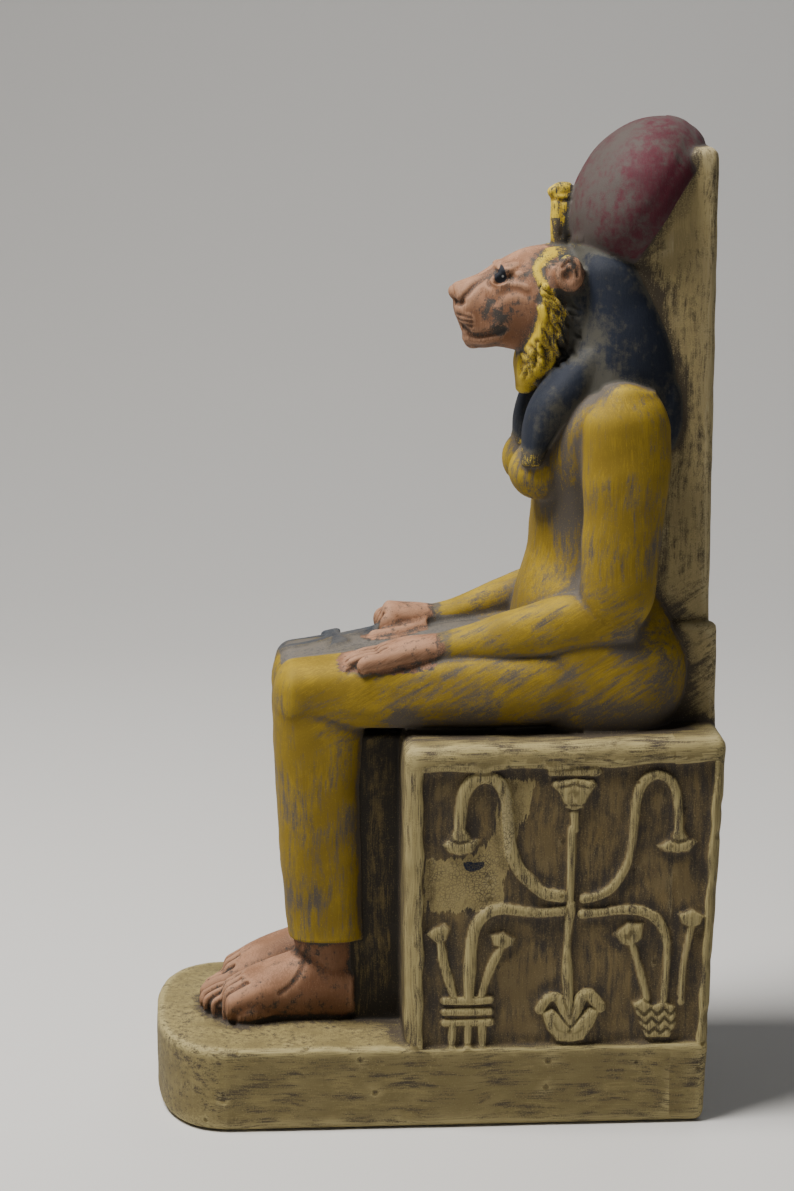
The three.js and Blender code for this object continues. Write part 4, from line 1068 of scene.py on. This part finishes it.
def grain(tree, position, size, detail=4.0, rough=0.55, turn=0.0):  # noise, its size in mm as 1 or 3 numbers
    sizes = size if hasattr(size, "__len__") else (size,) * 3
    inputs = {"Vector": position, "Scale": sizes, "Rotation": (turn, 0, 0)}
    at = add(tree, "Mapping", inputs, vector_type="TEXTURE").outputs[0]
    inputs = {"Vector": at, "Scale": 1.0, "Detail": detail, "Roughness": rough}
    return add(tree, "TexNoise", inputs).outputs["Fac"]


def attribute(tree, name):
    return add(tree, "Attribute", attribute_name=name).outputs["Fac"]


def newGroup(name, *sockets):  # each as the way, the kind and the names
    tree = bpy.data.node_groups.new(name, "ShaderNodeTree")
    for way, kind, keys in sockets:
        for key in keys:
            tree.interface.new_socket(key, in_out=way, socket_type="NodeSocket" + kind)
    return tree, tree.nodes.new("NodeGroupInput").outputs, tree.nodes.new("NodeGroupOutput").inputs


brushes = {"patch": 12.0, "daub": (1.8, 12.0), "line": (0.38, 16.0), "slant": 0.55, "waves": 4.0,
           "speck": 0.4, "mottle": 2.6, "crack": 1.0}
markNames = ("Patch", "Blotch", "Mottle", "Streak", "Speck", "Ridge", "Dirt and shade", "Bare")
colourNames = ("Ground", "Paint", "Second", "Light")
shareNames = ("Cover", "Soft", "Second share", "Shade below share", "Ridge share", "Streaky", "Mottled")


def strokesOf(tree, position, width, length, detail):  # upright, lying or slanting ones
    upright = grain(tree, position, (width, width, length), detail, 0.65)
    lying = grain(tree, position, (width, length, width), detail, 0.65)
    slanting = grain(tree, position, (width, length, width), detail, 0.65, brushes["slant"])
    standing = blended(tree, attribute(tree, "slanting"), upright, slanting)
    return blended(tree, attribute(tree, "lying"), standing, lying)


def wearAndShadeGroup():  # the marks of brush, dust and dirt that all paints share, with painted shade in hollows, at seams between forms and where little light reaches
    tree, given, out = newGroup("wearAndShadeMarks", ("INPUT", "Vector", ["Position"]),
                                ("OUTPUT", "Float", markNames))
    position = given["Position"]
    wave = times(tree, minus(tree, grain(tree, position, 25.0, 1), 0.5), brushes["waves"])
    waves = add(tree, "CombineXYZ", {0: wave, 1: wave, 2: wave}).outputs[0]
    waved = add(tree, "VectorMath", {0: position, 1: waves}, operation="ADD").outputs[0]
    blotch = strokesOf(tree, waved, *brushes["daub"], 5)
    streak = strokesOf(tree, waved, *brushes["line"], 2)
    patch = grain(tree, position, brushes["patch"], 3)
    mottle = grain(tree, position, brushes["mottle"], 4, 0.6)
    speck = grain(tree, position, brushes["speck"], 2, 0.6)
    # painted shade: places that the rays find closed to light, hollows and seams between forms darken,
    # together with dirt and dark wash in the grooves
    closedToLight = stepped(tree, attribute(tree, "open"), 0.8, 0.25)
    groove = attribute(tree, "groove")
    hollow = stepped(tree, attribute(tree, "broad"), -0.03, -0.3)
    seam = stepped(tree, maths(tree, "MULTIPLY_ADD", blotch, 1.6, attribute(tree, "seam")), 2.9, 1.1)
    dirtAndShade = maths(tree, "MAXIMUM", groove, weighted(tree, (closedToLight, 0.5), (hollow, 0.5), (seam, 0.55)))
    ridge = stepped(tree, attribute(tree, "fine"), -0.01, 0.06)
    # listed worn places where the dark ground shows, and a little more ground in hollows, at seams and in
    # places closed to light, as painted shade
    bare = weighted(tree, (attribute(tree, "bare"), 0.22), (closedToLight, 0.05), (hollow, 0.05), (seam, 0.08))
    for key, value in zip(markNames, (patch, blotch, mottle, streak, speck, ridge, dirtAndShade, bare)):
        tree.links.new(value, out[key])
    return tree


def brushedGroup():  # one worn paint, brushed over a dark ground, with painted shade where it faces down and in hollows
    tree, given, out = newGroup("brushedPaint", ("INPUT", "Float", (*markNames, "Shade below")),
                                ("INPUT", "Color", colourNames),
                                ("INPUT", "Float", shareNames), ("OUTPUT", "Color", ["Colour"]))
    streaky = given["Streaky"]
    rest = minus(tree, 1.0, streaky)
    daubed = blended(tree, given["Mottled"], given["Blotch"], given["Mottle"])
    daubed = weighted(tree, (given["Patch"], 0.33), (daubed, 0.67))
    level = plus(tree, times(tree, given["Streak"], streaky), times(tree, rest, daubed))
    lost = plus(tree, given["Bare"], 0.08)
    level = minus(tree, weighted(tree, (level, 1.0), (given["Speck"], 0.16)), lost)
    edge = maths(tree, "MULTIPLY_ADD", given["Cover"], -0.3, 0.65)
    covered = stepped(tree, level, minus(tree, edge, given["Soft"]), plus(tree, edge, given["Soft"]))
    cloudy = stepped(tree, weighted(tree, (given["Patch"], 0.5), (given["Streak"], 0.5)), 0.42, 0.6)
    # the darker second colour: painted shade on surfaces facing down, dirt and painted shade in hollows, and
    # clouds of uneven tone
    second = weighted(tree, (given["Shade below"], given["Shade below share"]), (given["Dirt and shade"], 1.0), (cloudy, 1.0))
    second = times(tree, maths(tree, "MINIMUM", second, 1.0), given["Second share"])
    colour = mixed(tree, second, given["Paint"], given["Second"])
    lit = times(tree, given["Ridge"], given["Ridge share"])
    lit = times(tree, lit, stepped(tree, given["Streak"], 0.2, 0.68))
    colour = mixed(tree, lit, colour, given["Light"])
    colour = mixed(tree, covered, given["Ground"], colour)
    colour = mixed(tree, times(tree, stepped(tree, given["Speck"], 0.6, 0.72), 0.3), colour, given["Light"])
    # dirt and painted shade pull the colour towards the dark ground
    dirtAndShade = times(tree, given["Dirt and shade"], stepped(tree, given["Speck"], 0.7, 0.3))
    colour = mixed(tree, times(tree, dirtAndShade, 0.95), colour, given["Ground"])
    tree.links.new(colour, out["Colour"])
    return tree


# The colours of each paint in the order of colourNames, then its shares in the order of shareNames
paints = {
    "stone": ((0.055, 0.042, 0.028), (0.3, 0.24, 0.092), (0.13, 0.1, 0.04), (0.44, 0.37, 0.17),
              0.66, 0.08, 0.8, 0.5, 0.8, 0.3, 0.0),
    "slab": ((0.062, 0.048, 0.03), (0.36, 0.285, 0.125), (0.22, 0.17, 0.08), (0.5, 0.43, 0.25),
             0.63, 0.085, 0.6, 0.0, 0.6, 0.22, 0.35),
    # the web between the legs is painted much darker than the stonework around it: painted shade of the
    # recess
    "web": ((0.022, 0.018, 0.013), (0.14, 0.1, 0.035), (0.06, 0.045, 0.02), (0.24, 0.19, 0.08),
            0.46, 0.07, 0.5, 0.0, 0.3, 0.3, 0.2),
    "dress": ((0.088, 0.074, 0.06), (0.34, 0.225, 0.005), (0.14, 0.088, 0.006), (0.48, 0.34, 0.02),
              0.68, 0.08, 0.75, 0.5, 0.4, 0.25, 0.1),
    "skin": ((0.05, 0.043, 0.037), (0.36, 0.185, 0.105), (0.12, 0.046, 0.017), (0.48, 0.28, 0.17),
             0.8, 0.06, 0.75, 0.9, 0.5, 0.15, 0.9),
    "wig": ((0.056, 0.053, 0.042), (0.004, 0.008, 0.02), (0.007, 0.012, 0.026), (0.045, 0.048, 0.05),
            0.88, 0.1, 0.5, 0.0, 0.3, 0.1, 0.75),
    "trim": ((0.045, 0.041, 0.036), (0.5, 0.34, 0.008), (0.33, 0.2, 0.01), (0.66, 0.5, 0.04),
             0.7, 0.05, 0.5, 0.3, 0.6, 0.3, 0.5),
    "disc": ((0.062, 0.05, 0.045), (0.07, 0.002, 0.012), (0.035, 0.002, 0.008), (0.11, 0.075, 0.075),
             0.6, 0.13, 0.4, 0.2, 0.2, 0.0, 0.7),
    "ankh": ((0.075, 0.07, 0.065), (0.012, 0.018, 0.03), (0.02, 0.026, 0.036), (0.08, 0.09, 0.1),
             0.7, 0.08, 0.4, 0.0, 0.5, 0.3, 0.5),
    "lap": ((0.06, 0.055, 0.05), (0.125, 0.112, 0.1), (0.12, 0.095, 0.05), (0.2, 0.18, 0.15),
            0.7, 0.12, 0.4, 0.0, 0.3, 0.5, 0.3),
    "inset": ((0.042, 0.033, 0.024), (0.19, 0.135, 0.052), (0.09, 0.064, 0.03), (0.36, 0.3, 0.155),
              0.62, 0.09, 0.6, 0.3, 0.7, 0.15, 0.15),
    "cream": ((0.085, 0.062, 0.03), (0.32, 0.255, 0.105), (0.22, 0.17, 0.07), (0.42, 0.37, 0.21),
              0.9, 0.1, 0.4, 0.0, 0.6, 0.2, 0.5),
    "chip": ((0.012, 0.014, 0.022), (0.008, 0.014, 0.035), (0.01, 0.012, 0.02), (0.03, 0.036, 0.05),
             0.8, 0.1, 0.4, 0.0, 0.0, 0.2, 0.5),
}
# the light dot in each eye is a painted highlight
eye = {"at": (46.3, 228.6), "radius": 2.05, "narrow": 1.12, "glint": (45.7, 228.8), "glintRadius": 0.34,
       "dark": (0.006, 0.008, 0.014), "light": (0.32, 0.33, 0.33)}
finish = {"rough": 0.74, "specular": 0.34, "bump": 0.6, "bumpHeight": 0.00035,
          "crackColour": (0.09, 0.07, 0.042)}


def paintEye(tree, position, colour):  # a dark drop with a painted highlight in it, a small light glint, on both sides of the face
    spot = add(tree, "SeparateXYZ", {0: position}).outputs
    across = minus(tree, grid["slabFront"] - eye["at"][0], spot[1])
    up = minus(tree, spot[2], grid["soles"] + eye["at"][1])
    rise = maths(tree, "MAXIMUM", up, 0.0)
    across = maths(tree, "MULTIPLY_ADD", up, 0.14, across)
    across = times(tree, across, maths(tree, "MULTIPLY_ADD", rise, 0.32, 1.0))
    across = times(tree, across, eye["narrow"])
    tallness = times(tree, up, blended(tree, maths(tree, "GREATER_THAN", up, 0.0), 1.1, 0.6))
    inEye = add(tree, "CombineXYZ", {0: across, 1: tallness}).outputs[0]
    away = add(tree, "VectorMath", {0: inEye}, operation="LENGTH").outputs["Value"]
    onFace = maths(tree, "GREATER_THAN", maths(tree, "ABSOLUTE", spot[0]), 5.5)
    dark = times(tree, stepped(tree, away, eye["radius"] + 0.15, eye["radius"] - 0.15), onFace)
    colour = mixed(tree, dark, colour, eye["dark"])
    # painted highlight: a small light dot in the eye
    flat = add(tree, "CombineXYZ", {0: spot[1], 1: spot[2]}).outputs[0]
    glint = (grid["slabFront"] - eye["glint"][0], grid["soles"] + eye["glint"][1], 0)
    away = add(tree, "VectorMath", {0: flat, 1: glint}, operation="DISTANCE").outputs["Value"]
    light = times(tree, stepped(tree, away, eye["glintRadius"] + 0.1, eye["glintRadius"] - 0.1), onFace)
    return mixed(tree, light, colour, eye["light"])


def paintStatue():
    material = bpy.data.materials.new("castPaint")
    material.use_nodes = True
    tree = material.node_tree
    shader = tree.nodes["Principled BSDF"]
    local = add(tree, "TexCoord").outputs["Object"]
    position = add(tree, "VectorMath", {0: local, "Scale": 1000.0}, operation="SCALE").outputs[0]
    marks = add(tree, "Group", node_tree=wearAndShadeGroup())
    wire(tree, marks.inputs["Position"], position)
    # painted shade: surfaces that face down take more of the darker second colour
    facing = add(tree, "SeparateXYZ", {0: add(tree, "NewGeometry").outputs["Normal"]}).outputs[2]
    shadeBelow = stepped(tree, facing, 0.6, -0.05)
    brushed = brushedGroup()
    uneven = minus(tree, marks.outputs["Blotch"], 0.5)
    ragged, torn = times(tree, uneven, 1.8), times(tree, uneven, 9.0)
    colour = None
    for name, values in paints.items():
        node = add(tree, "Group", node_tree=brushed, label=name)
        for output in marks.outputs:
            wire(tree, node.inputs[output.name], output)
        wire(tree, node.inputs["Shade below"], shadeBelow)
        for key, value in zip(colourNames + shareNames, values):
            wire(tree, node.inputs[key], value)
        border = torn if name == "cream" else ragged
        mask = stepped(tree, plus(tree, attribute(tree, name), border), -0.15, 0.15)
        made = node.outputs["Colour"]
        colour = made if colour is None else mixed(tree, mask, colour, made)
    shaken = add(tree, "CombineXYZ", {0: ragged, 1: ragged, 2: ragged}).outputs[0]
    shaken = add(tree, "VectorMath", {0: position, 1: shaken}, operation="ADD").outputs[0]
    inputs = {"Vector": shaken, "Scale": 1 / brushes["crack"]}
    cells = add(tree, "TexVoronoi", inputs, feature="DISTANCE_TO_EDGE").outputs["Distance"]
    onCream = stepped(tree, plus(tree, attribute(tree, "cream"), torn), 0.3, 1.6)
    cracked = times(tree, stepped(tree, cells, 0.1, 0.02), onCream)
    seen = times(tree, cracked, stepped(tree, marks.outputs["Patch"], 0.3, 0.6))
    colour = mixed(tree, seen, colour, finish["crackColour"])
    colour = paintEye(tree, position, colour)
    tree.links.new(colour, shader.inputs["Base Color"])
    shader.inputs["Roughness"].default_value = finish["rough"]
    shader.inputs["Specular IOR Level"].default_value = finish["specular"]
    streak, blotch, speck = (marks.outputs[key] for key in ("Streak", "Blotch", "Speck"))
    height = weighted(tree, (streak, 0.16), (blotch, 0.25), (speck, 0.3), (cracked, -0.5))
    inputs = {"Height": height, "Strength": finish["bump"], "Distance": finish["bumpHeight"]}
    tree.links.new(add(tree, "Bump", inputs).outputs[0], shader.inputs["Normal"])
    statue.data.materials.clear()
    statue.data.materials.append(material)


paintStatue()
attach(statue, "root")
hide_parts("sekhmet_statue")
print("statue painted")
